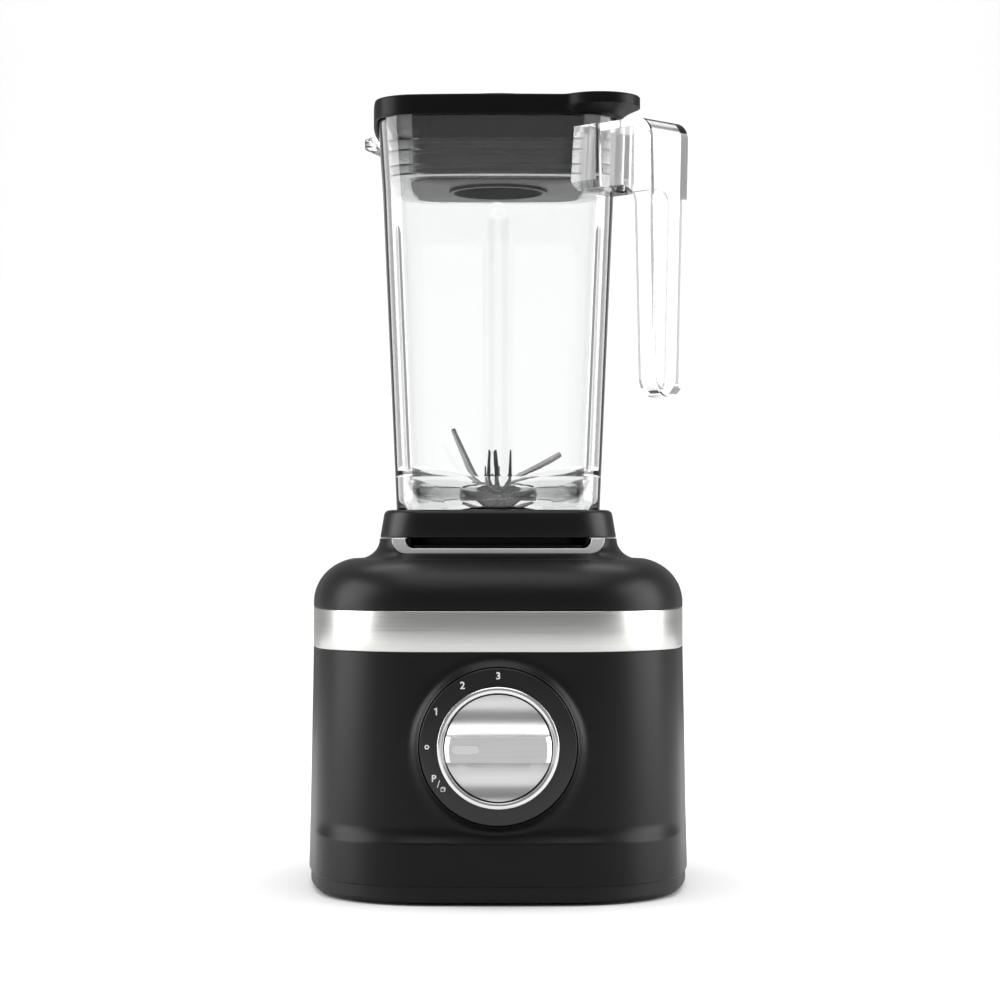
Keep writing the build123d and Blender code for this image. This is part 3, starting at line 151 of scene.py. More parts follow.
class Finish:
    """One material: its even values sit on the shader itself, and its patterns are fed to it."""

    def __init__(self, name, colour, roughness, **even):
        self.material = bpy.data.materials.new(name)
        self.material.use_nodes = True
        self.tree = self.material.node_tree
        self.shader = self.tree.nodes["Principled BSDF"]
        self.shader.inputs["Base Color"].default_value = (*colour, 1)
        self.shader.inputs["Roughness"].default_value = roughness
        for socket, value in even.items():
            self.shader.inputs[socket.replace("_", " ")].default_value = value

    def node(self, kind, settings, sockets, out=0):
        """Adds a node: first its settings, then the values or links of its sockets."""
        made = self.tree.nodes.new(kind)
        for setting, value in settings.items():
            setattr(made, setting, value)
        for key, value in sockets.items():
            if isinstance(value, Wire):
                self.tree.links.new(value.socket, made.inputs[key])
            else:
                made.inputs[key].default_value = value
        return Wire(self, made.outputs[out])

    def feed(self, socket, wire):
        self.tree.links.new(wire.socket, self.shader.inputs[socket])

    def noise(self, scale, detail=3.0, stretch=(1, 1, 1), turn=(0, 0, 0)):
        """Cloudy grain in the object's own coordinates, which may be drawn out along one of them."""
        where = self.node("ShaderNodeTexCoord", {}, {}, out=3)
        placed = self.node("ShaderNodeMapping", {}, {"Vector": where, "Rotation": turn, "Scale": stretch})
        return self.node("ShaderNodeTexNoise", {}, {"Vector": placed, "Scale": scale, "Detail": detail})

    def blend(self, amount, first, second):
        """A colour between two, by an amount from 0 to 1."""
        return self.node("ShaderNodeMix", {"data_type": "RGBA"}, {0: amount, 6: (*first, 1), 7: (*second, 1)}, out=2)

    def emboss(self, height, depth, strength=1.0):
        self.feed("Normal", self.node("ShaderNodeBump", {},
                                      {"Strength": strength, "Distance": depth, "Height": height}))


def moulded_black(name, shade, roughness, texture_depth, texture_scale=1500, specular=0.5):
    """Black plastic with the fine skin of its tool, and rubbed a little unevenly by hands."""
    finish = Finish(name, (shade,) * 3, roughness, Specular_IOR_Level=specular)
    skin = finish.noise(texture_scale, 2.0)
    wear = finish.noise(14, 4.0)
    finish.feed("Base Color", finish.blend(wear, (shade * 0.8,) * 3, (shade * 1.25,) * 3))
    finish.feed("Roughness", wear * 0.08 + skin * 0.06 + (roughness - 0.07))
    finish.emboss(skin, texture_depth, 0.6)
    return finish


def smooth_copy(node, crease=28):
    """The CAD node's mesh with its triangles joined, smooth over its curves and sharp at its edges."""
    mesh = bpy.data.meshes.new(node + "_skin")
    net = bmesh.new()
    net.from_mesh(frame["nodes"][node].data)
    bmesh.ops.remove_doubles(net, verts=net.verts, dist=2e-6)
    bmesh.ops.dissolve_limit(net, angle_limit=math.radians(0.2), verts=net.verts, edges=net.edges)
    net.to_mesh(mesh)
    net.free()
    return creased(node + "_skin", mesh, crease)


def creased(name, mesh, crease):
    """An object with smooth faces, sharp where they turn by more than the crease angle."""
    for layer in [a.name for a in mesh.attributes if a.name in ("custom_normal", "sharp_edge", "sharp_face")]:
        mesh.attributes.remove(mesh.attributes[layer])
    mesh.shade_smooth()
    mesh.set_sharp_from_angle(angle=math.radians(crease))
    mesh.materials.clear()
    made = bpy.data.objects.new(name, mesh)
    bpy.context.scene.collection.objects.link(made)
    return made


def rounded(piece, width, segments=2):
    """Breaks the sharp edges, as a moulding's or a machined part's are."""
    bevel = piece.modifiers.new("broken_edges", "BEVEL")
    bevel.width, bevel.segments = width, segments
    bevel.limit_method, bevel.angle_limit = "ANGLE", math.radians(35)
    bevel.harden_normals = True
    return piece


stood_for = set()


def fit(piece, body, slot, finish, *nodes):
    """Gives a piece its finish and its body, and hides the CAD nodes that it stands for."""
    stood_for.update(nodes)
    piece.data.materials.append(finish.material)
    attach(piece, body)
    if nodes:
        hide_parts(*nodes)
    return piece


def millimetres(node):
    """A CAD node's lowest and highest corners, in millimetres."""
    return [corner * 1000 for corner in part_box(node)]


black_plastic = moulded_black("moulded_black_plastic", 0.005, 0.45, 0.00002, specular=0.2)
fit(smooth_copy("base_pan"), "base", "black_plastic", black_plastic, "base_pan")

# ---------------------------------------------------------------- rubber feet, grommet and screws
# Four feet of black rubber are pushed into the pan, and a rubber bush lines the hole in the rear wall.
# The screws are zinc plated steel with pan heads.
rubber = Finish("black_rubber", (0.02, 0.02, 0.02), 0.75)
rubber_dust = rubber.noise(60, 5.0)
rubber.feed("Base Color", rubber.blend(rubber_dust, (0.014, 0.014, 0.014), (0.035, 0.034, 0.033)))
rubber.feed("Roughness", rubber_dust * 0.2 + 0.65)
rubber.emboss(rubber.noise(900, 2.0), 0.00003)
for node, edge in (("cord_grommet", 0.0006), ("rubber_mounts", 0.0003), ("shaft_seal", 0.0002)):
    fit(rounded(smooth_copy(node), edge), "base", "rubber", rubber, node)


class Pattern(Finish):
    """A geometry tree with named inputs, which sets out one piece at its places."""

    def __init__(self, name, **inputs):
        self.tree = bpy.data.node_groups.new(name, "GeometryNodeTree")
        self.tree.interface.new_socket("Geometry", in_out="OUTPUT", socket_type="NodeSocketGeometry")
        self.values = {}
        for label, value in inputs.items():
            kind = "NodeSocketMaterial" if isinstance(value, bpy.types.Material) else "NodeSocketFloat"
            socket = self.tree.interface.new_socket(label.replace("_", " "), in_out="INPUT", socket_type=kind)
            self.values[socket.identifier] = value
        self.entry = self.tree.nodes.new("NodeGroupInput")

    def named(self, label):
        return Wire(self, self.entry.outputs[label])

    def post(self, radius, foot, length, edge, steps=16):
        """An upright round post with its two edges broken."""
        blank = self.node("GeometryNodeMeshCylinder", {},
                          {"Vertices": 48, "Side Segments": steps, "Radius": 1.0, "Depth": 1.0})
        place = self.node("GeometryNodeInputPosition", {}, {})
        split = self.node("ShaderNodeSeparateXYZ", {}, {0: place})
        x, y, z = (Wire(self, split.socket.node.outputs[k]) for k in range(3))
        share = z + 0.5
        from_end = self.node("ShaderNodeMath", {"operation": "MINIMUM"}, {0: share, 1: 1 - share}) * length
        bend = 1 - self.node("ShaderNodeMath", {"operation": "MINIMUM"}, {0: from_end / edge, 1: 1.0})
        reach = radius - edge * (1 - (1 - bend * bend) ** 0.5)
        moved = self.node("ShaderNodeCombineXYZ", {}, {0: x * reach, 1: y * reach, 2: foot + share * length})
        return self.node("GeometryNodeSetPosition", {}, {0: blank, "Position": moved})

    def at_four(self, piece):
        """The piece at four places, evenly about the base's middle."""
        across, along = self.named("Spacing X"), self.named("Spacing Y")
        grid = self.node("GeometryNodeMeshGrid", {},
                         {"Size X": across, "Size Y": along, "Vertices X": 2, "Vertices Y": 2})
        middle = self.node("ShaderNodeCombineXYZ", {}, {0: 0.0, 1: self.named("Middle"), 2: 0.0})
        placed = self.node("GeometryNodeTransform", {}, {0: grid, "Translation": middle})
        return self.node("GeometryNodeInstanceOnPoints", {}, {"Points": placed, "Instance": piece})

    def frozen(self, name, pieces, crease=35):
        """The tree's result as a plain mesh, with its instances made real and its finish set."""
        real = self.node("GeometryNodeRealizeInstances", {}, {0: pieces})
        finished = self.node("GeometryNodeSetMaterial", {}, {0: real, "Material": self.named("Material")})
        self.tree.links.new(finished.socket, self.tree.nodes.new("NodeGroupOutput").inputs[0])
        holder = bpy.data.objects.new(name, bpy.data.meshes.new(name))
        bpy.context.scene.collection.objects.link(holder)
        modifier = holder.modifiers.new(name, "NODES")
        modifier.node_group = self.tree
        for identifier, value in self.values.items():
            modifier[identifier] = value
        bpy.context.view_layer.update()
        mesh = bpy.data.meshes.new_from_object(holder.evaluated_get(bpy.context.evaluated_depsgraph_get()))
        holder.modifiers.clear()
        bpy.data.objects.remove(holder)
        return creased(name, mesh, crease)


def places_of(node, radius):
    """The spacing of four round pieces, and their middle, in metres."""
    low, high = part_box(node)
    return {"Spacing_X": high.x - low.x - 2 * radius, "Spacing_Y": high.y - low.y - 2 * radius,
            "Middle": (low.y + high.y) / 2}


feet_low, feet_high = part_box("rubber_feet")
FOOT_RADIUS = 0.009
feet = Pattern("feet", Radius=FOOT_RADIUS, Foot=feet_low.z, Length=feet_high.z - feet_low.z, Edge=0.0007,
               Material=rubber.material, **places_of("rubber_feet", FOOT_RADIUS))
foot = feet.post(feet.named("Radius"), feet.named("Foot"), feet.named("Length"), feet.named("Edge"))
fit(feet.frozen("rubber_feet_skin", feet.at_four(foot)), "base", "rubber", rubber, "rubber_feet")

zinc = Finish("zinc_plated_steel", (0.6, 0.61, 0.6), 0.35, Metallic=1.0)
zinc_bloom = zinc.noise(220, 4.0)
zinc.feed("Base Color", zinc.blend(zinc_bloom, (0.5, 0.5, 0.47), (0.68, 0.69, 0.7)))
zinc.feed("Roughness", zinc_bloom * 0.25 + 0.25)
screws_low, screws_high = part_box("pan_screws")
SCREW_HEAD, SCREW_SHANK, SCREW_HEAD_HEIGHT = 0.0032, 0.0018, 0.0006
screws = Pattern("screws", Head=SCREW_HEAD, Shank=SCREW_SHANK, Foot=screws_low.z, Head_Height=SCREW_HEAD_HEIGHT,
                 Top=screws_high.z,
                 Slot=0.0034, Slot_Width=0.0009, Slot_Depth=0.0004, Edge=0.0003, Material=zinc.material,
                 **places_of("pan_screws", SCREW_HEAD))
foot_z, head_height = screws.named("Foot"), screws.named("Head Height")
head = screws.post(screws.named("Head"), foot_z, head_height, screws.named("Edge"))
shank_foot = foot_z + head_height * 0.5
shank = screws.post(screws.named("Shank"), shank_foot, screws.named("Top") - shank_foot, screws.named("Edge"), 40)
blank = screws.node("GeometryNodeMeshBoolean", {"operation": "UNION", "solver": "EXACT"}, {})
cross = screws.node("GeometryNodeMeshBoolean", {"operation": "DIFFERENCE", "solver": "EXACT"}, {"Mesh 1": blank})
for part in (head, shank):
    screws.tree.links.new(part.socket, blank.socket.node.inputs["Mesh 2"])
for turn in (0, math.pi / 2):
    size = screws.node("ShaderNodeCombineXYZ", {},
                       {0: screws.named("Slot"), 1: screws.named("Slot Width"), 2: screws.named("Slot Depth") * 2})
    bar = screws.node("GeometryNodeMeshCube", {}, {"Size": size})
    place = screws.node("ShaderNodeCombineXYZ", {}, {0: 0.0, 1: 0.0, 2: foot_z})
    bar = screws.node("GeometryNodeTransform", {}, {0: bar, "Translation": place, "Rotation": (0, 0, turn)})
    screws.tree.links.new(bar.socket, cross.socket.node.inputs["Mesh 2"])
fit(screws.frozen("pan_screws_skin", screws.at_four(cross)), "base", "zinc_steel", zinc, "pan_screws")
for node in ("pad_screws", "motor_bolts", "motor_spacers", "switch_nut"):
    fit(smooth_copy(node), "base", "zinc_steel", zinc, node)

# ---------------------------------------------------------------- lower housing
# The shell round the motor: glass-filled plastic under a soft matte black paint, one moulding.
# Its front panel stands a little behind the skirt, and flares out to a round boss that carries the dial.
housing_low, housing_high = millimetres("lower_housing")
band_low, band_high = millimetres("trim_band")
dial_low, dial_high = millimetres("dial_plate")
BASE_TAPER = housing_high.x - band_high.x
BASE_HALF = housing_high.x
BASE_FRONT = band_low.y - BASE_TAPER
BASE_REAR = housing_high.y
BASE_CORNER, SIDE_BOW, FACE_BOW = 56.0, 270.0, 640.0
SHELL = 3.0
LEDGE_Z, LEDGE_DEPTH, LEDGE_RISE = 31.0, 3.0, 7.0
DIAL_Z = (dial_low.z + dial_high.z) / 2
DIAL_RADIUS = (dial_high.z - dial_low.z) / 2
DIAL_FACE = dial_low.y
BOSS_FACE = DIAL_FACE + 0.2
BOSS_RIM, BOSS_FOOT = DIAL_RADIUS + 0.5, 44.0


def corner_of(half_x, half_y, corner, side_bow, face_bow):
    """Where the corner arc's centre lies, and the angles at which it meets the side and the face arcs."""
    along_x, along_y = half_x - side_bow, half_y - face_bow
    reach_side, reach_face = side_bow - corner, face_bow - corner
    apart = math.hypot(along_x, along_y)
    along = (reach_side ** 2 - reach_face ** 2 + apart ** 2) / (2 * apart)
    off = math.sqrt(reach_side ** 2 - along ** 2)
    ux, uy = -along_x / apart, along_y / apart
    x, y = along_x + ux * along - uy * off, uy * along + ux * off
    return x, y, math.atan2(y, x - along_x), math.atan2(y - along_y, x)


def bowed_square(half_x, half_y, corner, side_bow, face_bow, centre_y=0.0, steps=(14, 18, 26)):
    """A rounded square with bowed sides, from the middle of the right side, counterclockwise."""
    x, y, side, face = corner_of(half_x, half_y, corner, side_bow, face_bow)
    arcs = [(half_x - side_bow, 0, side_bow, 0, side, steps[0]), (x, y, corner, side, face, steps[1]),
            (0, half_y - face_bow, face_bow, face, math.pi / 2, steps[2])]
    quarter = [(cx + r * math.cos(a), cy + r * math.sin(a))
               for cx, cy, r, start, end, count in arcs for a in np.linspace(start, end, count, endpoint=False)]
    quarter = np.array(quarter + [(0, half_y)])
    half = np.vstack([quarter, quarter[-2::-1] * (-1, 1)])
    whole = np.vstack([half, half[-2:0:-1] * (1, -1)])
    return whole + (0, centre_y)


def front_of(x, half_x, half_y, corner, side_bow, face_bow):
    """How far forward of its centre the outline reaches at x."""
    cx, cy, _, face = corner_of(half_x, half_y, corner, side_bow, face_bow)
    on_face = np.abs(x) <= face_bow * math.cos(face)
    flat = half_y - face_bow + np.sqrt(face_bow ** 2 - np.clip(x, -face_bow, face_bow) ** 2)
    bend = cy + np.sqrt(np.clip(corner ** 2 - (np.abs(x) - cx) ** 2, 0, None))
    return np.where(on_face, flat, bend)


def base_sizes(inset=0.0, draw_in=0.0, set_back=0.0):
    """The base outline's sizes with its taper, a wall's inset, and a step back of its front alone."""
    front, rear = BASE_FRONT + draw_in + inset + set_back, BASE_REAR - draw_in - inset
    return (BASE_HALF - draw_in - inset, (rear - front) / 2, BASE_CORNER - inset, SIDE_BOW - inset, FACE_BOW - inset,
            (rear + front) / 2)


def draw_at(z):
    return BASE_TAPER * min(1.0, max(0.0, (z - housing_low.z) / (housing_high.z - housing_low.z)))


def at_height(outline, z):
    return np.column_stack([outline, np.full(len(outline), z)])


def skin(name, rings, crease=40, closed=False):
    """Quads between rings of points in millimetres; the last ring joins the first, or both ends get a lid."""
    count = len(rings[0])
    points = np.vstack(rings) * 0.001
    around = np.arange(count)
    faces = []
    for k in range(len(rings) if closed else len(rings) - 1):
        low, high = k * count, (k + 1) % len(rings) * count
        faces += [(low + a, low + b, high + b, high + a) for a, b in zip(around, np.roll(around, -1))]
    if not closed:
        faces += [tuple(around[::-1]), tuple((len(rings) - 1) * count + around)]
    mesh = bpy.data.meshes.new(name)
    mesh.from_pydata(points.tolist(), [], [tuple(int(i) for i in face) for face in faces])
    mesh.update()
    return creased(name, mesh, crease)


def ledge_step(z):
    """How far the panel stands behind the skirt: a soft cove at the ledge, then closing towards the band."""
    t = np.clip((z - LEDGE_Z + 2.2) / LEDGE_RISE, 0, 1) ** 0.62
    closing = np.clip((housing_high.z - z) / (housing_high.z - LEDGE_Z + 2.2 - LEDGE_RISE), 0, 1)
    return LEDGE_DEPTH * t * t * (3 - 2 * t) * closing


boss_steps = [36.0, BOSS_RIM - 0.7, BOSS_RIM, BOSS_RIM + 0.4, *np.arange(37.7, 42.8, 0.36)]
columns = np.array(sorted({*np.arange(-33, 34, 3.0), *boss_steps, *[-s for s in boss_steps],
                           *np.arange(46, 75, 3.5), *-np.arange(46, 75, 3.5)}))
PANEL_EDGE = columns[-1]


def housing_ring(z, inset=0.0, set_back=0.0, dial=False):
    """One ring of the housing: columns across the front, then the corners, sides and rear."""
    half_x, half_y, corner, side_bow, face_bow, centre_y = base_sizes(inset, draw_at(z), set_back)
    cx, cy, side, _ = corner_of(half_x, half_y, corner, side_bow, face_bow)
    shape = (half_x, half_y, corner, side_bow, face_bow)
    start = -math.acos((PANEL_EDGE - cx) / corner)
    corner_arc = [(cx + corner * math.cos(a), -cy + corner * math.sin(a)) for a in np.linspace(start, -side, 12)[1:]]
    side_arc = [(half_x - side_bow + side_bow * math.cos(a), side_bow * math.sin(a)) for a in np.linspace(-side, 0,
                                                                                                          14)[1:]]
    right = np.array(corner_arc + side_arc)
    rear = bowed_square(*shape)
    rear = rear[1:len(rear) // 2]
    left = right[-1::-1] * (-1, 1)
    x, height = columns.copy(), np.full(len(columns), z)
    forward = front_of(x, *shape)
    lift = np.zeros(len(x))
    if dial:
        rise = z - DIAL_Z
        square = np.maximum(np.abs(x), abs(rise))
        true = np.maximum(np.hypot(x, rise), 1e-9)
        hold = np.clip((42.7 - square) / 4.0, 0, 1)
        hold = np.where(square < 42.7, hold * hold * (3 - 2 * hold), 0)
        scale = 1 + hold * (square / true - 1)
        x, height = x * scale, DIAL_Z + rise * scale
        forward = front_of(x, *shape)
        forward = forward + ledge_step(z) - ledge_step(height)
        radius = np.hypot(x, height - DIAL_Z)
        t = np.clip((radius - BOSS_RIM - 0.4) / (BOSS_FOOT - BOSS_RIM - 0.4), 0, 1)
        lift = np.where(radius <= BOSS_RIM + 0.01, 1.0, 0.93 * (1 - t) ** 2.8)
        lift = np.where(radius < BOSS_RIM - 0.35, 0.55, lift)
    y = centre_y - forward
    y = y + lift * (BOSS_FACE - y)
    ring = np.vstack([np.column_stack([x, y]), right + (0, centre_y), rear + (0, centre_y), left + (0, centre_y)])
    return np.column_stack([ring, np.concatenate([height, np.full(len(ring) - len(x), z)])])


seam, top = housing_low.z, housing_high.z
panel_rows = [28.8, 29.4, 30.0, 30.6, *(z for z in sorted(DIAL_Z + columns) if LEDGE_Z < z < top - 0.9)]
housing_rings = [housing_ring(seam, 0.5), housing_ring(seam + 0.5)]
housing_rings += [housing_ring(z) for z in (12, 18, 24, LEDGE_Z - 3.0)]
housing_rings += [housing_ring(z, 0, ledge_step(z), dial=True) for z in panel_rows]
housing_rings += [housing_ring(top - 0.4, 0, 0.01), housing_ring(top, 0.4)]
housing_rings += [housing_ring(top, SHELL, LEDGE_DEPTH), housing_ring(seam, SHELL, LEDGE_DEPTH)]
matte_black = moulded_black("matte_black_paint", 0.0045, 0.36, 0.000012, 2200, 0.16)
fit(skin("lower_housing_skin", housing_rings, 34, closed=True), "base", "black_housing", matte_black, "lower_housing")

# ---------------------------------------------------------------- trim band
# A strip of stainless steel rolled to the base's outline and brushed along its length.
# It is trapped between the two housings.
brushed_steel = Finish("brushed_steel_band", (0.55, 0.55, 0.54), 0.3, Metallic=1.0)
strokes = brushed_steel.noise(1.0, 3.0, (14, 14, 9000))
long_strokes = brushed_steel.noise(1.0, 2.0, (30, 30, 2600))
grain = strokes * 0.6 + long_strokes * 0.4
brushed_steel.feed("Base Color", brushed_steel.blend(grain, (0.42, 0.42, 0.41), (0.72, 0.72, 0.7)))
brushed_steel.feed("Roughness", grain * 0.22 + 0.2)
brushed_steel.emboss(grain, 0.00001, 0.5)
band_draw = BASE_TAPER
band_rings = [(band_low.z, 0.35), (band_low.z + 0.1, 0.1), (band_low.z + 0.35, 0), (band_high.z - 0.35, 0),
              (band_high.z - 0.1, 0.1), (band_high.z, 0.35), (band_high.z, 1.2), (band_low.z, 1.2)]
band = skin("trim_band_skin", [at_height(bowed_square(*base_sizes(i, band_draw)), z) for z, i in band_rings], 50,
            closed=True)
fit(band, "base", "brushed_band", brushed_steel, "trim_band")

# ---------------------------------------------------------------- upper housing
# The shoulder and the pedestal that the jar stands on, moulded and painted like the lower housing.
# A pocket is cut in the front of the pedestal for the grey trim, which is a painted reflection.
upper_low, upper_high = millimetres("upper_housing")
pad_low, pad_high = millimetres("jar_pad")
SHOULDER_START, SHOULDER_RISE, SHOULDER_REACH = 138.5, 21.8, 24.2
NECK_HALF, NECK_CORNER, NECK_BOW = 58.5, 24.0, 420.0
FLARE_WIDTH, FLARE_HEIGHT = 12.0, 9.8
neck_top = upper_high.z


def shoulder_ring(z, half, inset=0.0):
    """The outline between the band and the pedestal."""
    band_half = BASE_HALF - BASE_TAPER
    t = (band_half - half) / (band_half - NECK_HALF)
    front = (1 - t) * (BASE_FRONT + BASE_TAPER) - t * NECK_HALF + inset
    rear = (1 - t) * (BASE_REAR - BASE_TAPER) + t * NECK_HALF - inset
    corner, side, face = ((1 - t) * a + t * b for a, b in
                          ((BASE_CORNER, NECK_CORNER), (SIDE_BOW, NECK_BOW), (FACE_BOW, NECK_BOW)))
    outline = bowed_square(half - inset, (rear - front) / 2, corner - inset, side - inset, face - inset,
                           (rear + front) / 2, (20, 26, 40))
    return at_height(outline, z)


band_half = BASE_HALF - BASE_TAPER
upper_rings = [shoulder_ring(band_high.z, band_half, 0.5), shoulder_ring(band_high.z + 0.5, band_half),
               shoulder_ring(SHOULDER_START - 0.8, band_half)]
for a in np.radians(np.linspace(0, 78, 22)):
    upper_rings.append(shoulder_ring(SHOULDER_START + SHOULDER_RISE * math.sin(a),
                                     band_half - SHOULDER_REACH * (1 - math.cos(a))))
for a in np.radians(np.linspace(80, 0, 16)):
    upper_rings.append(shoulder_ring(neck_top - FLARE_HEIGHT * math.sin(a) - 0.4,
                                     NECK_HALF + FLARE_WIDTH * (1 - math.cos(a))))
upper_rings += [shoulder_ring(neck_top, NECK_HALF, 0.4), shoulder_ring(neck_top, NECK_HALF, 5.0),
                shoulder_ring(156.0, NECK_HALF, 5.0), shoulder_ring(154.0, 66.0, 3.0),
                shoulder_ring(SHOULDER_START, band_half, 4.0), shoulder_ring(band_high.z, band_half, 3.0)]
upper = skin("upper_housing_skin", upper_rings, 40, closed=True)

POCKET_HALF, POCKET_FLOOR, POCKET_CORNER = 50.6, 162.2, 7.0


def u_outline(half, floor, corner, top, count=10):
    """A U as a closed outline across the front: down the left, round both corners and up the right."""
    turn = np.linspace(0, math.pi / 2, count)
    left = [(-half + corner * (1 - math.cos(a)), floor + corner * (1 - math.sin(a))) for a in turn]
    right = [(-x, z) for x, z in left[::-1]]
    return [(-half, top), *left, *right, (half, top)]


def prism(name, outline, front, back):
    """An outline in X and Z, drawn out along Y between two depths."""
    made = skin(name, [np.array([(x, y, z) for x, z in outline]) for y in (front, back)], 40)
    net = bmesh.new()
    net.from_mesh(made.data)
    bmesh.ops.recalc_face_normals(net, faces=net.faces)
    net.to_mesh(made.data)
    net.free()
    return made


cutter = prism("pocket_cutter", u_outline(POCKET_HALF, POCKET_FLOOR, POCKET_CORNER, neck_top + 8), -50, -80)
cut = upper.modifiers.new("pocket", "BOOLEAN")
cut.operation, cut.solver, cut.object = "DIFFERENCE", "EXACT", cutter
bpy.context.view_layer.update()
carved = bpy.data.meshes.new_from_object(upper.evaluated_get(bpy.context.evaluated_depsgraph_get()))
upper.modifiers.clear()
bpy.data.objects.remove(cutter)
bpy.data.objects.remove(upper)
upper = creased("upper_housing_skin", carved, 34)
fit(upper, "base", "black_housing", matte_black, "upper_housing")

# ---------------------------------------------------------------- seat trim and jar pad
# The trim is a bar of aluminium bent to a U, finished in satin grey and clipped into the pocket; its light grey is a
# painted reflection, set where the pedestal's glossy neck shows a U-shaped reflection of the room.
# The pad behind it is black plastic, with the plateau that the jar's collar drops over.
# Painted reflection: this satin grey stands in for the U-shaped reflection on the glossy black neck under the collar.
grey_trim = Finish("satin_grey_painted_reflection", (0.68, 0.68, 0.69), 0.35, Metallic=1.0)
trim_cloud = grey_trim.noise(40, 3.0)
grey_trim.feed("Base Color", grey_trim.blend(trim_cloud, (0.62, 0.62, 0.63), (0.74, 0.74, 0.75)))
grey_trim.feed("Roughness", trim_cloud * 0.12 + 0.3)
trim_low, trim_high = millimetres("seat_trim")
TRIM_ARM, TRIM_FOOT = 6.3, 2.6
outer_u = u_outline(trim_high.x, trim_low.z, POCKET_CORNER, neck_top - 0.1)
inner_u = u_outline(trim_high.x - TRIM_ARM, trim_low.z + TRIM_FOOT, POCKET_CORNER - 3, neck_top - 0.1)
strip = prism("seat_trim_skin", outer_u + inner_u[::-1], trim_low.y, trim_high.y)
fit(rounded(strip, 0.0003), "base", "grey_trim", grey_trim, "seat_trim")
fit(rounded(smooth_copy("jar_pad"), 0.0004), "base", "black_plastic", black_plastic, "jar_pad")

# ---------------------------------------------------------------- dial
# A black disc let into the boss, its marks printed in white; round the knob runs a bright turned ring.
# The marks are plain numbers, a nought for off, and a letter and ice cube for pulsing.
gloss_black = moulded_black("gloss_black_plastic", 0.004, 0.34, 0.000012, 1300, 0.22)
dial_black = moulded_black("dial_black", 0.004, 0.34, 0.00001, 2000, 0.45)


def turned(name, profile, centre, steps=128, crease=35):
    """A profile of radius and depth pairs, turned about the dial's axis, towards the front."""
    rings = []
    for radius, y in profile:
        angle = np.linspace(0, 2 * math.pi, steps, endpoint=False)
        rings.append(np.column_stack([centre[0] + radius * np.cos(angle), np.full(steps, y),
                                      centre[1] + radius * np.sin(angle)]))
    return skin(name, rings, crease, closed=True)


plate_back = dial_high.y
plate = turned("dial_plate_skin", [(10, plate_back), (DIAL_RADIUS, plate_back), (DIAL_RADIUS, DIAL_FACE + 0.6),
                                   (DIAL_RADIUS - 0.1, DIAL_FACE + 0.35), (DIAL_RADIUS - 0.35, DIAL_FACE + 0.1),
                                   (DIAL_RADIUS - 0.6, DIAL_FACE),
                                   (26.5, DIAL_FACE), (10, DIAL_FACE)], (0, DIAL_Z))
fit(plate, "base", "black_plastic", dial_black, "dial_plate")

white_ink = Finish("white_ink", (0.8, 0.8, 0.8), 0.5)
ink_grain = white_ink.noise(1800, 2.0)
white_ink.feed("Base Color", white_ink.blend(ink_grain, (0.66, 0.66, 0.66), (0.9, 0.9, 0.9)))
MARK_RADIUS = 32.8


def printed(name, character, angle, height, radius=MARK_RADIUS):
    """A character printed on the dial, centred on its place, upright."""
    text = bpy.data.curves.new(name, "FONT")
    text.body, text.size, text.extrude, text.offset = character, 1.0, 0.0, 0.022
    text.align_x, text.align_y = "CENTER", "CENTER"
    holder = bpy.data.objects.new(name, text)
    bpy.context.scene.collection.objects.link(holder)
    bpy.context.view_layer.update()
    mesh = bpy.data.meshes.new_from_object(holder.evaluated_get(bpy.context.evaluated_depsgraph_get()))
    bpy.data.objects.remove(holder)
    flat = np.array([v.co[:2] for v in mesh.vertices])
    middle, span = (flat.max(0) + flat.min(0)) / 2, np.ptp(flat, axis=0)[1]
    x0, z0 = radius * math.cos(math.radians(angle)), DIAL_Z + radius * math.sin(math.radians(angle))
    for vertex in mesh.vertices:
        x, z = (np.array(vertex.co[:2]) - middle) * height / span
        vertex.co = ((x0 + x) / 1000, (DIAL_FACE - 0.03) / 1000, (z0 + z) / 1000)
    mesh.update()
    piece = bpy.data.objects.new(name, mesh)
    bpy.context.scene.collection.objects.link(piece)
    return fit(piece, "base", "black_plastic", white_ink)


for name, character, angle, height in (("mark_3", "3", 90, 3.4), ("mark_2", "2", 120, 3.4), ("mark_off", "o", 180, 2.1),
                                       ("mark_pulse", "P", 206, 3.2)):
    printed(name, character, angle, height)


def flat_mark(name, strips, angle, radius):
    """Printed bars, each a centre, length, width and slope, about a place on the dial."""
    net = bmesh.new()
    x0, z0 = radius * math.cos(math.radians(angle)), DIAL_Z + radius * math.sin(math.radians(angle))
    for x, z, length, width, slope in strips:
        along = np.array((math.cos(math.radians(slope)), math.sin(math.radians(slope))))
        across = np.array((-along[1], along[0]))
        corners = [along * length / 2 * i + across * width / 2 * j for i, j in ((-1, -1), (1, -1), (1, 1), (-1, 1))]
        net.faces.new([net.verts.new(((x0 + x + c[0]) / 1000, (DIAL_FACE - 0.03) / 1000, (z0 + z + c[1]) / 1000))
                       for c in corners])
    mesh = bpy.data.meshes.new(name)
    net.to_mesh(mesh)
    net.free()
    piece = bpy.data.objects.new(name, mesh)
    bpy.context.scene.collection.objects.link(piece)
    return fit(piece, "base", "black_plastic", white_ink)


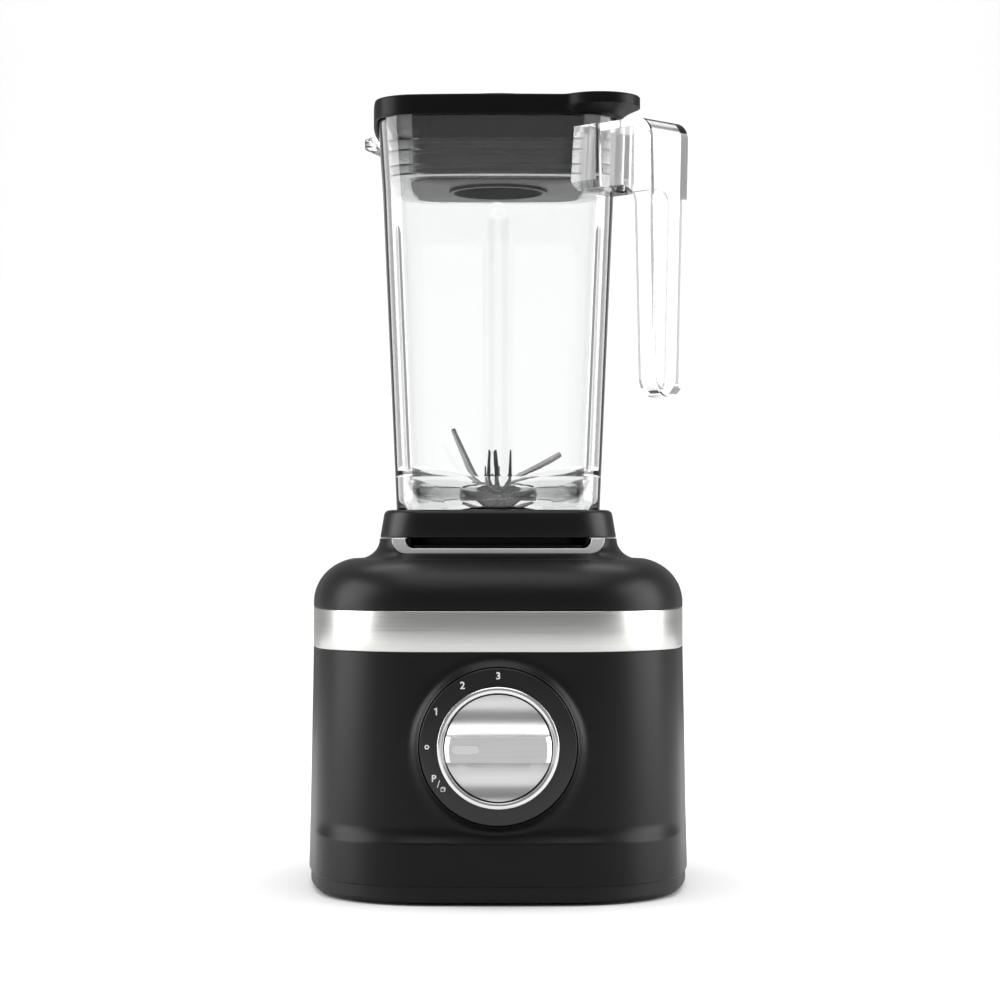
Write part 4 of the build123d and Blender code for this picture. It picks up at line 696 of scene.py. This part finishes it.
cube = [(0, 0.75, 1.5, 0.28, 0), (0, -0.75, 1.5, 0.28, 0), (-0.75, 0, 1.5, 0.28, 90), (0.75, 0, 1.5, 0.28, 90),
        (0.35, 1.15, 1.5, 0.28, 0), (1.15, 0.35, 1.5, 0.28, 90), (-0.6, 1.0, 0.6, 0.25, 45),
        (0.95, 0.95, 0.6, 0.25, 45),
        (0.95, -0.55, 0.6, 0.25, 45)]
flat_mark("mark_ice", cube, 217.5, MARK_RADIUS - 0.6)
flat_mark("mark_divider", [(0, 0, 3.6, 0.32, 74)], 211.6, MARK_RADIUS - 0.6)
flat_mark("mark_1", [(0, 0, 3.4, 0.6, 90), (-0.55, 1.2, 1.15, 0.5, 35)], 150, MARK_RADIUS)

bezel_low, bezel_high = millimetres("knob_bezel")
knob_low, knob_high = millimetres("knob")
ring_outer = (bezel_high.z - bezel_low.z) / 2
ring_inner = (knob_high.z - knob_low.z) / 2 + 0.7
ring_front = bezel_low.y
bright_ring = Finish("bright_ring", (0.72, 0.72, 0.72), 0.16, Metallic=1.0)
ring_haze = bright_ring.noise(30, 3.0)
bright_ring.feed("Base Color", bright_ring.blend(ring_haze, (0.62, 0.62, 0.62), (0.8, 0.8, 0.8)))
bright_ring.feed("Roughness", ring_haze * 0.12 + 0.12)
bezel = turned("knob_bezel_skin", [(ring_outer, bezel_high.y), (ring_outer, ring_front + 1.2),
                                   (ring_outer - 0.2, ring_front + 0.55), (ring_outer - 0.8, ring_front + 0.1),
                                   (ring_outer - 1.5, ring_front), (ring_inner + 0.6, ring_front + 0.1),
                                   (ring_inner + 0.1, ring_front + 0.5), (ring_inner, ring_front + 1.0),
                                   (ring_inner, bezel_high.y)], (0, DIAL_Z), 160)
fit(bezel, "base", "bright_trim", bright_ring, "knob_bezel")

# ---------------------------------------------------------------- knob
# Die cast zinc, brushed straight across and plated in satin nickel, with a grip bar between two hollows.
# The bright inlaid mark on the bar points at the number.
satin_silver = Finish("satin_nickel_knob", (0.6, 0.6, 0.6), 0.3, Metallic=1.0)
knob_strokes = satin_silver.noise(1.0, 3.0, (20, 200, 7000))
satin_silver.feed("Base Color", satin_silver.blend(knob_strokes, (0.5, 0.5, 0.5), (0.72, 0.72, 0.72)))
satin_silver.feed("Roughness", knob_strokes * 0.2 + 0.28)
satin_silver.emboss(knob_strokes, 0.000008, 0.5)
fit(rounded(smooth_copy("knob"), 0.0005, 3), "knob_body", "satin_silver", satin_silver, "knob")
fit(smooth_copy("knob_pointer"), "knob_body", "bright_trim", bright_ring, "knob_pointer")
fit(smooth_copy("switch_shaft"), "knob_body", "zinc_steel", zinc, "switch_shaft")

# ---------------------------------------------------------------- jar collar
# The black foot of the jar: glossy moulded plastic, the skirt of which drops over the pad's plateau.
collar_low, collar_high = millimetres("jar_collar")
jar_low, jar_high = millimetres("jar")
COLLAR_FOOT, COLLAR_TOP = collar_high.x, 56.0
JAR_FOOT_HALF, JAR_CORNER, JAR_BOW, JAR_WALL = 50.1, 19.0, 420.0, 3.0


def square_ring(z, half, corner=JAR_CORNER, inset=0.0, steps=(24, 18, 24)):
    return at_height(bowed_square(half - inset, half - inset, corner - inset, JAR_BOW - inset, JAR_BOW - inset, 0,
                                  steps), z)


def collar_half(z):
    t = (z - collar_low.z) / (collar_high.z - collar_low.z)
    return COLLAR_FOOT + t * (COLLAR_TOP - COLLAR_FOOT), NECK_CORNER - 2 * t


collar_rings = []
for z, inset in ((collar_low.z, 0.8), (collar_low.z + 0.25, 0.25), (collar_low.z + 0.8, 0), (collar_high.z - 2.2, 0),
                 (collar_high.z - 1.0, 0.25), (collar_high.z - 0.3, 1.0), (collar_high.z, 2.2)):
    half, corner = collar_half(z)
    collar_rings.append(square_ring(z, half, corner, inset))
socket_half = JAR_FOOT_HALF + 0.3
collar_rings += [square_ring(collar_high.z, socket_half + 0.3, JAR_CORNER + 0.6),
                 square_ring(collar_high.z - 0.4, socket_half),
                 square_ring(jar_low.z - 0.4, socket_half), square_ring(jar_low.z - 0.4, 17, 16),
                 square_ring(177.6, 17, 16), square_ring(177.6, 46.3, 16.5), square_ring(collar_low.z, 46.3, 16.5)]
fit(skin("jar_collar_skin", collar_rings, 40, closed=True), "jar_body", "gloss_black", gloss_black, "jar_collar")

# ---------------------------------------------------------------- jar
# Clear copolyester, injection moulded in one piece: tapered square walls, a flute down the middle of each,
# a floor that climbs into the corners, and a pouring spout on the rear left corner.
clear_plastic = Finish("clear_jar_plastic", (0.968, 0.972, 0.972), 0.015, Transmission_Weight=1.0, IOR=1.5)
jar_ripple = clear_plastic.noise(9, 2.0)
clear_plastic.feed("Roughness", jar_ripple * 0.02 + 0.005)
clear_plastic.emboss(jar_ripple, 0.0004, 0.25)

RIM_Z = jar_high.z
WAIST_Z = RIM_Z - 39.1
JAR_WAIST_HALF, JAR_RIM_HALF = 56.9, 59.6
FLOOR_Z, CORNER_FLOOR_Z, FLOOR_RADIUS, HOLE_RADIUS = jar_low.z + 4.2, jar_low.z + 21, 42.5, 15.05
RIB_RADIUS, RIB_STAND, RIB_TOP = 6.5, 2.2, RIM_Z - 49.1
SPOUT_WIDTH, SPOUT_LINE = 25.0, 80.5
wall_stations = np.array([-1, -0.8, -0.6, -0.42, -0.28, *(np.linspace(-6.5, 6.5, 15) / 40), 0.28, 0.42, 0.6, 0.8])
corner_steps = 28


def jar_half(z):
    if z <= WAIST_Z:
        return JAR_FOOT_HALF + (z - jar_low.z) / (WAIST_Z - jar_low.z) * (JAR_WAIST_HALF - JAR_FOOT_HALF)
    return JAR_WAIST_HALF + (z - WAIST_Z) / (RIM_Z - WAIST_Z) * (JAR_RIM_HALF - JAR_WAIST_HALF)


def spout_line(width, reach_line, root, count):
    """The spout seen from above on its own diagonal: two straight sides and a half round nose."""
    side = reach_line - root
    whole = 2 * side + math.pi * width / 2
    points = []
    for way in np.linspace(0, whole, count):
        if way < side:
            points.append((root + way, -width / 2))
        elif way > whole - side:
            points.append((root + whole - way, width / 2))
        else:
            turn = (way - side) / (width / 2) - math.pi / 2
            points.append((reach_line + width / 2 * math.cos(turn), width / 2 * math.sin(turn)))
    return np.array(points)


def jar_ring(z, inset=0.0, flute=False, spout=0.0, nose=0.0):
    """One ring of the jar: four walls and four corners; inside, each wall may carry its flute."""
    half = jar_half(z)
    wall, bow, corner = half - inset, JAR_BOW - inset, JAR_CORNER - inset
    cx, cy, side, face = corner_of(wall, wall, corner, bow, bow)
    end = bow * math.sin(side)
    u = wall_stations * np.where(np.abs(wall_stations) < 0.2, 40, end)
    out = wall - bow + np.sqrt(bow ** 2 - u ** 2)
    if flute:
        above = max(0.0, z - (RIB_TOP - RIB_RADIUS))
        away = np.clip(np.hypot(u, above) / RIB_RADIUS, 0, 1)
        out = out - RIB_STAND * np.cos(away * math.pi / 2) ** 2
    quarters = []
    for turn in range(4):
        arc = [(cx + corner * math.cos(a), cy + corner * math.sin(a)) for a in np.linspace(side, face, corner_steps,
                                                                                           endpoint=False)]
        arc = np.array(arc)
        if turn == 1 and spout > 0:
            diagonal, across = np.array((1, 1)) / math.sqrt(2), np.array((-1, 1)) / math.sqrt(2)
            width = SPOUT_WIDTH - 2 * nose
            root = cx * math.sqrt(2) + math.sqrt(max(corner ** 2 - (width / 2) ** 2, 0))
            inside = np.abs(arc @ across) < width / 2
            line = spout_line(width, SPOUT_LINE, root, int(inside.sum()) + 2)[1:-1]
            target = line[:, :1] * diagonal + line[:, 1:] * across
            arc[inside] += spout * (target - arc[inside])
        quarter = np.vstack([np.column_stack([out, u]), arc])
        for _ in range(turn):
            quarter = np.column_stack([-quarter[:, 1], quarter[:, 0]])
        quarters.append(quarter)
    return at_height(np.vstack(quarters), z)


def to_circle(ring, radius, z):
    """A circle of points at the same headings as a ring's."""
    heading = np.arctan2(ring[:, 1], ring[:, 0])
    return np.column_stack([radius * np.cos(heading), radius * np.sin(heading), np.full(len(ring), z)])


def outer_spout(z):
    return min(1.0, max(0.0, (z - (RIM_Z - 13.2)) / 8.2))


def inner_spout(z):
    return min(1.0, max(0.0, (z - (RIM_Z - 8.1)) / 8.1))


foot_ring = jar_ring(jar_low.z)
under_top = jar_ring(CORNER_FLOOR_Z - 3.6, JAR_WALL)
under_round = to_circle(under_top, FLOOR_RADIUS, jar_low.z)
jar_rings = [to_circle(foot_ring, HOLE_RADIUS, jar_low.z), to_circle(foot_ring, 30, jar_low.z), under_round]
jar_rings += [under_round + (under_top - under_round) * t for t in np.linspace(0.12, 1, 8)]
jar_rings += [jar_ring(jar_low.z + 8, JAR_WALL), jar_ring(jar_low.z + 0.5, JAR_WALL),
              jar_ring(jar_low.z, JAR_WALL - 0.5),
              jar_ring(jar_low.z, 0.8), jar_ring(jar_low.z + 0.3, 0.3), jar_ring(jar_low.z + 1.2)]
outer_levels = [*np.arange(190, WAIST_Z - 6, 9.0), WAIST_Z - 3, WAIST_Z - 1, WAIST_Z + 1, WAIST_Z + 3,
                *np.arange(WAIST_Z + 8, RIM_Z - 14, 6.0), *np.arange(RIM_Z - 13.2, RIM_Z - 0.9, 1.05), RIM_Z - 0.9]
jar_rings += [jar_ring(z, 0, spout=outer_spout(z), nose=0) for z in outer_levels]
jar_rings += [jar_ring(RIM_Z - 0.25, 0.28, spout=1, nose=0.28), jar_ring(RIM_Z, 0.9, spout=1, nose=0.9),
              jar_ring(RIM_Z, 2.1, spout=1, nose=2.1), jar_ring(RIM_Z - 0.25, 2.72, spout=0.97, nose=2.72)]
inner_levels = [RIM_Z - 0.9, *np.arange(RIM_Z - 1.8, RIM_Z - 9.5, -0.9), *np.arange(RIM_Z - 15, WAIST_Z + 3, -6.0),
                WAIST_Z + 2,
                WAIST_Z, WAIST_Z - 2, RIB_TOP + 2, *np.arange(RIB_TOP, RIB_TOP - RIB_RADIUS - 1, -0.8),
                *np.arange(RIB_TOP - 12, CORNER_FLOOR_Z + 6, -8.0), CORNER_FLOOR_Z + 2]
jar_rings += [jar_ring(z, JAR_WALL, z < RIB_TOP + 1, inner_spout(z), JAR_WALL) for z in inner_levels]
wall_ring = jar_ring(CORNER_FLOOR_Z, JAR_WALL)
bottom_ring = to_circle(wall_ring, FLOOR_RADIUS, FLOOR_Z)
for t in np.linspace(0, 1, 12):
    slope = wall_ring + (bottom_ring - wall_ring) * t
    ease = math.sin(math.pi * t) * 0.12
    slope[:, :2] *= 1 + ease * (1 - t) * 0.5
    fluted = jar_ring(float(slope[0, 2]), JAR_WALL, True)
    reach = np.hypot(fluted[:, 0], fluted[:, 1]) / np.hypot(slope[:, 0], slope[:, 1])
    slope[:, :2] *= np.minimum(1, reach)[:, None]
    jar_rings.append(slope)
jar_rings += [to_circle(wall_ring, FLOOR_RADIUS - 1.5, FLOOR_Z - 0.02), to_circle(wall_ring, 30, FLOOR_Z - 0.02),
              to_circle(wall_ring, HOLE_RADIUS, FLOOR_Z - 0.02)]
fit(skin("jar_skin", jar_rings, 50, closed=True), "jar_body", "clear_jar", clear_plastic, "jar")

# ---------------------------------------------------------------- jar handle
# The open grip is moulded in the same clear plastic, a channel that hangs from an arm on the front right corner.
fit(rounded(smooth_copy("jar_handle", 20), 0.0009, 3), "jar_body", "clear_jar", clear_plastic, "jar_handle")

# ---------------------------------------------------------------- blade unit
# A bearing carrier of stainless steel is clamped through the jar's floor on a silicone washer.
# The blades are stamped from 1.5 mm martensitic steel, bent, ground, and held by a nut on the shaft.
silicone = Finish("clear_silicone", (0.93, 0.94, 0.94), 0.18, Transmission_Weight=1.0, IOR=1.41)
silicone.feed("Roughness", silicone.noise(120, 3.0) * 0.2 + 0.08)
blade_steel = Finish("ground_blade_steel", (0.5, 0.5, 0.5), 0.24, Metallic=1.0)
grinding = blade_steel.noise(1.0, 3.0, (900, 900, 4000), (0.3, 0.2, 0.5))
blade_steel.feed("Base Color", blade_steel.blend(grinding, (0.14, 0.14, 0.14), (0.36, 0.36, 0.355)))
blade_steel.feed("Roughness", grinding * 0.2 + 0.14)
blade_steel.emboss(grinding, 0.00001, 0.4)
for node, body, edge in (("blade_housing", "jar_body", 0.0003), ("blade_shaft", "blades", 0.0003),
                         ("lower_blade", "blades", 0.0001), ("upper_blade", "blades", 0.0001),
                         ("blade_nut", "blades", 0.0003)):
    fit(rounded(smooth_copy(node), edge), body, "blade_steel", blade_steel, node)
fit(smooth_copy("jar_gasket"), "jar_body", "silicone", silicone, "jar_gasket")

# ---------------------------------------------------------------- lid, its gasket and its cap
# The lid is satin black plastic with a hollow plug, a filling hole and a thumb tab over the handle.
# A clear silicone sleeve on the plug wipes the jar's wall, and the measuring cap drops in the hole.
lid_black = moulded_black("satin_black_lid", 0.0035, 0.36, 0.00001, 1400, 0.1)
lid_low, lid_high = millimetres("lid")
LID_HALF, LID_CORNER, LID_SKIRT_Z, LID_TOP_Z = 61.4, 20.8, RIM_Z - 6.3, lid_high.z
TAB_REACH, TAB_ROUND, TAB_THICK = 88.0, 19.0, 5.2
PLUG_HALF, PLUG_CORNER, CAP_HOLE, CAP_SEAT = 43.1, 12.5, 24.3, 30.3
NOTCH = math.degrees(math.asin(13.1 / 76))
lid_headings = {*np.arange(-180, 180, 2.0), *np.arange(-85, -5, 0.5), *np.arange(120, 150, 1.0)}
lid_headings = np.radians(sorted(lid_headings | {135 + way * (NOTCH + step) for way in (-1, 1) for step in (-0.03,
                                                                                                            0.03)}))
in_notch = np.abs(np.degrees(lid_headings) - 135) < NOTCH


def lid_ring(z, half, corner, tab=0.0, inset=0.0, spout_room=False):
    """One ring of the lid by headings; the tab swells smoothly out of its front right corner."""
    outline = bowed_square(half, half, corner, JAR_BOW, JAR_BOW)
    heading, reach = np.arctan2(outline[:, 1], outline[:, 0]), np.hypot(outline[:, 0], outline[:, 1])
    order = np.argsort(heading)
    radius = np.interp(lid_headings, heading[order], reach[order], period=2 * math.pi)
    if tab:
        off = np.abs(np.sin(lid_headings + math.pi / 4))
        nose = TAB_REACH - TAB_ROUND
        round_end = nose * np.sqrt(1 - off ** 2) + np.sqrt(np.clip(TAB_ROUND ** 2 - (nose * off) ** 2, 0, None))
        line = np.where(nose * off < TAB_ROUND, round_end, TAB_ROUND / np.maximum(off, 1e-6))
        line = np.where(np.cos(lid_headings + math.pi / 4) > 0, line, 0)
        both = (radius + line + np.sqrt((radius - line) ** 2 + 12.0)) / 2
        radius = np.maximum(radius, radius + tab * (np.minimum(both - 0.15, TAB_REACH) - radius))
    radius = radius - inset
    height = np.full(len(radius), float(z))
    if spout_room:
        height = np.where(in_notch, np.maximum(height, RIM_Z + 0.15), height)
    return np.column_stack([radius * np.cos(lid_headings), radius * np.sin(lid_headings), height])


def lid_circle(z, radius):
    return np.column_stack([radius * np.cos(lid_headings), radius * np.sin(lid_headings),
                            np.full(len(lid_headings), z)])


lid_rings = [lid_ring(LID_SKIRT_Z, LID_HALF, LID_CORNER, 0, 0.4, True),
             lid_ring(LID_SKIRT_Z + 0.4, LID_HALF, LID_CORNER, 0, 0, True)]
for share in np.linspace(0, 1, 9):
    z = LID_SKIRT_Z + 1.2 + share * (LID_TOP_Z - TAB_THICK - LID_SKIRT_Z - 1.2)
    lid_rings.append(lid_ring(z, LID_HALF, LID_CORNER, share ** 1.5, 0, True))
lid_rings += [lid_ring(LID_TOP_Z + down, LID_HALF, LID_CORNER, 1.0, inset)
              for down, inset in ((-4.6, 0), (-1.0, 0), (-0.45, 0.12), (-0.12, 0.45), (0, 1.0))]
lid_rings += [lid_circle(LID_TOP_Z, CAP_SEAT + 0.3), lid_circle(LID_TOP_Z - 0.3, CAP_SEAT),
              lid_circle(LID_TOP_Z - 1.6, CAP_SEAT),
              lid_circle(LID_TOP_Z - 1.6, CAP_HOLE), lid_circle(lid_low.z + 0.4, CAP_HOLE),
              lid_circle(lid_low.z, CAP_HOLE + 0.4)]
for z, half, inset in ((0, -0.8, 0.9), (0.3, -0.8, 0.3), (1, -0.8, 0), (30, -0.2, 0)):
    lid_rings.append(lid_ring(lid_low.z + z, PLUG_HALF + half, PLUG_CORNER, 0, inset))
lid_rings += [lid_ring(RIM_Z + 0.1, PLUG_HALF, PLUG_CORNER), lid_ring(RIM_Z + 0.1, JAR_RIM_HALF + 0.3, JAR_CORNER),
              lid_ring(LID_SKIRT_Z, JAR_RIM_HALF + 0.3, JAR_CORNER, spout_room=True)]
fit(skin("lid_skin", lid_rings[::-1], 40, closed=True), "lid_body", "gloss_black", lid_black, "lid")
fit(rounded(smooth_copy("lid_gasket"), 0.0002), "lid_body", "silicone", silicone, "lid_gasket")
fit(smooth_copy("ingredient_cap"), "cap_body", "gloss_black", lid_black, "ingredient_cap")

# ---------------------------------------------------------------- drive: couplers, seals and bushes
# The drive coupler is a splined rubber dog moulded on a steel insert; the jar's coupler is a black nylon cup.
# The blade shaft runs in two sintered bronze bushes under a rubber seal, on a white polymer washer.
def dressed(slot, finish):
    """Gives the CAD nodes of one material slot their finish, where no piece stands for them."""
    for entry in frame["record"]["subparts"]:
        node = frame["nodes"][entry["node"]]
        if entry["material_slot"] == slot and entry["node"] not in stood_for:
            node.data.materials.clear()
            node.data.materials.append(finish.material)


def grained(name, dark, light, roughness, scale, stretch=(1, 1, 1), metallic=0.0, depth=0.00001, **even):
    """A finish between two shades, in grains of one scale."""
    middle = tuple((a + b) / 2 for a, b in zip(dark, light))
    finish = Finish(name, middle, roughness, Metallic=metallic, **even)
    grain = finish.noise(scale, 3.0, stretch)
    finish.feed("Base Color", finish.blend(grain, dark, light))
    finish.feed("Roughness", grain * 0.2 + (roughness - 0.1))
    finish.emboss(grain, depth, 0.4)
    return finish


dressed("coupler_rubber", grained("moulded_coupler_rubber", (0.016, 0.016, 0.016), (0.03, 0.03, 0.03), 0.6, 500))
dressed("rubber", rubber)
dressed("black_plastic", black_plastic)
dressed("bush_bronze", grained("sintered_bronze", (0.42, 0.25, 0.12), (0.62, 0.4, 0.2), 0.45, 1500, metallic=1.0))
dressed("white_polymer", grained("white_polymer", (0.7, 0.7, 0.68), (0.82, 0.82, 0.8), 0.45, 300))

# ---------------------------------------------------------------- motor
# A universal motor: stacks of stamped silicon steel, enamelled copper coils, a ground shaft in two ball
# bearings, die cast aluminium brackets, carbon brushes in brass tubes, and a nylon fan under it.
dressed("laminations", grained("stamped_laminations", (0.2, 0.2, 0.21), (0.42, 0.42, 0.43), 0.5, 1.0, (60, 60, 2200),
                               0.9))
dressed("copper", grained("enamelled_copper", (0.45, 0.13, 0.04), (0.72, 0.28, 0.1), 0.32, 1.0, (200, 200, 1400), 0.9))
dressed("bearing_steel", grained("ground_steel", (0.5, 0.5, 0.5), (0.68, 0.68, 0.68), 0.22, 1.0, (40, 40, 3000), 1.0))
dressed("spring_steel", grained("spring_steel", (0.34, 0.34, 0.35), (0.5, 0.5, 0.5), 0.32, 600, metallic=1.0))
dressed("zinc_steel", zinc)
dressed("cast_bracket", grained("die_cast_aluminium", (0.42, 0.42, 0.42), (0.6, 0.6, 0.6), 0.48, 260, metallic=1.0,
                                depth=0.00005))
dressed("brass", grained("drawn_brass", (0.6, 0.43, 0.16), (0.78, 0.58, 0.27), 0.3, 1.0, (2000, 60, 60), 1.0))
dressed("carbon", grained("pressed_carbon", (0.012, 0.012, 0.012), (0.03, 0.03, 0.03), 0.6, 900))
dressed("fan_plastic", grained("grey_nylon_fan", (0.16, 0.16, 0.17), (0.24, 0.24, 0.25), 0.5, 400))

# ---------------------------------------------------------------- switch, board and leads
# A rotary switch behind the dial, an upright board of glass-filled epoxy with its parts, and the insulated leads.
dressed("switch_body", grained("thermoset_switch_body", (0.03, 0.028, 0.026), (0.06, 0.055, 0.05), 0.5, 350))
dressed("circuit_board", grained("green_circuit_board", (0.01, 0.09, 0.04), (0.03, 0.17, 0.08), 0.4, 1.0,
                                 (900, 900, 900)))
dressed("board_parts", grained("board_parts", (0.03, 0.06, 0.16), (0.08, 0.12, 0.26), 0.4, 200))
dressed("wire_insulation", grained("lead_insulation", (0.35, 0.02, 0.015), (0.55, 0.05, 0.03), 0.45, 260))
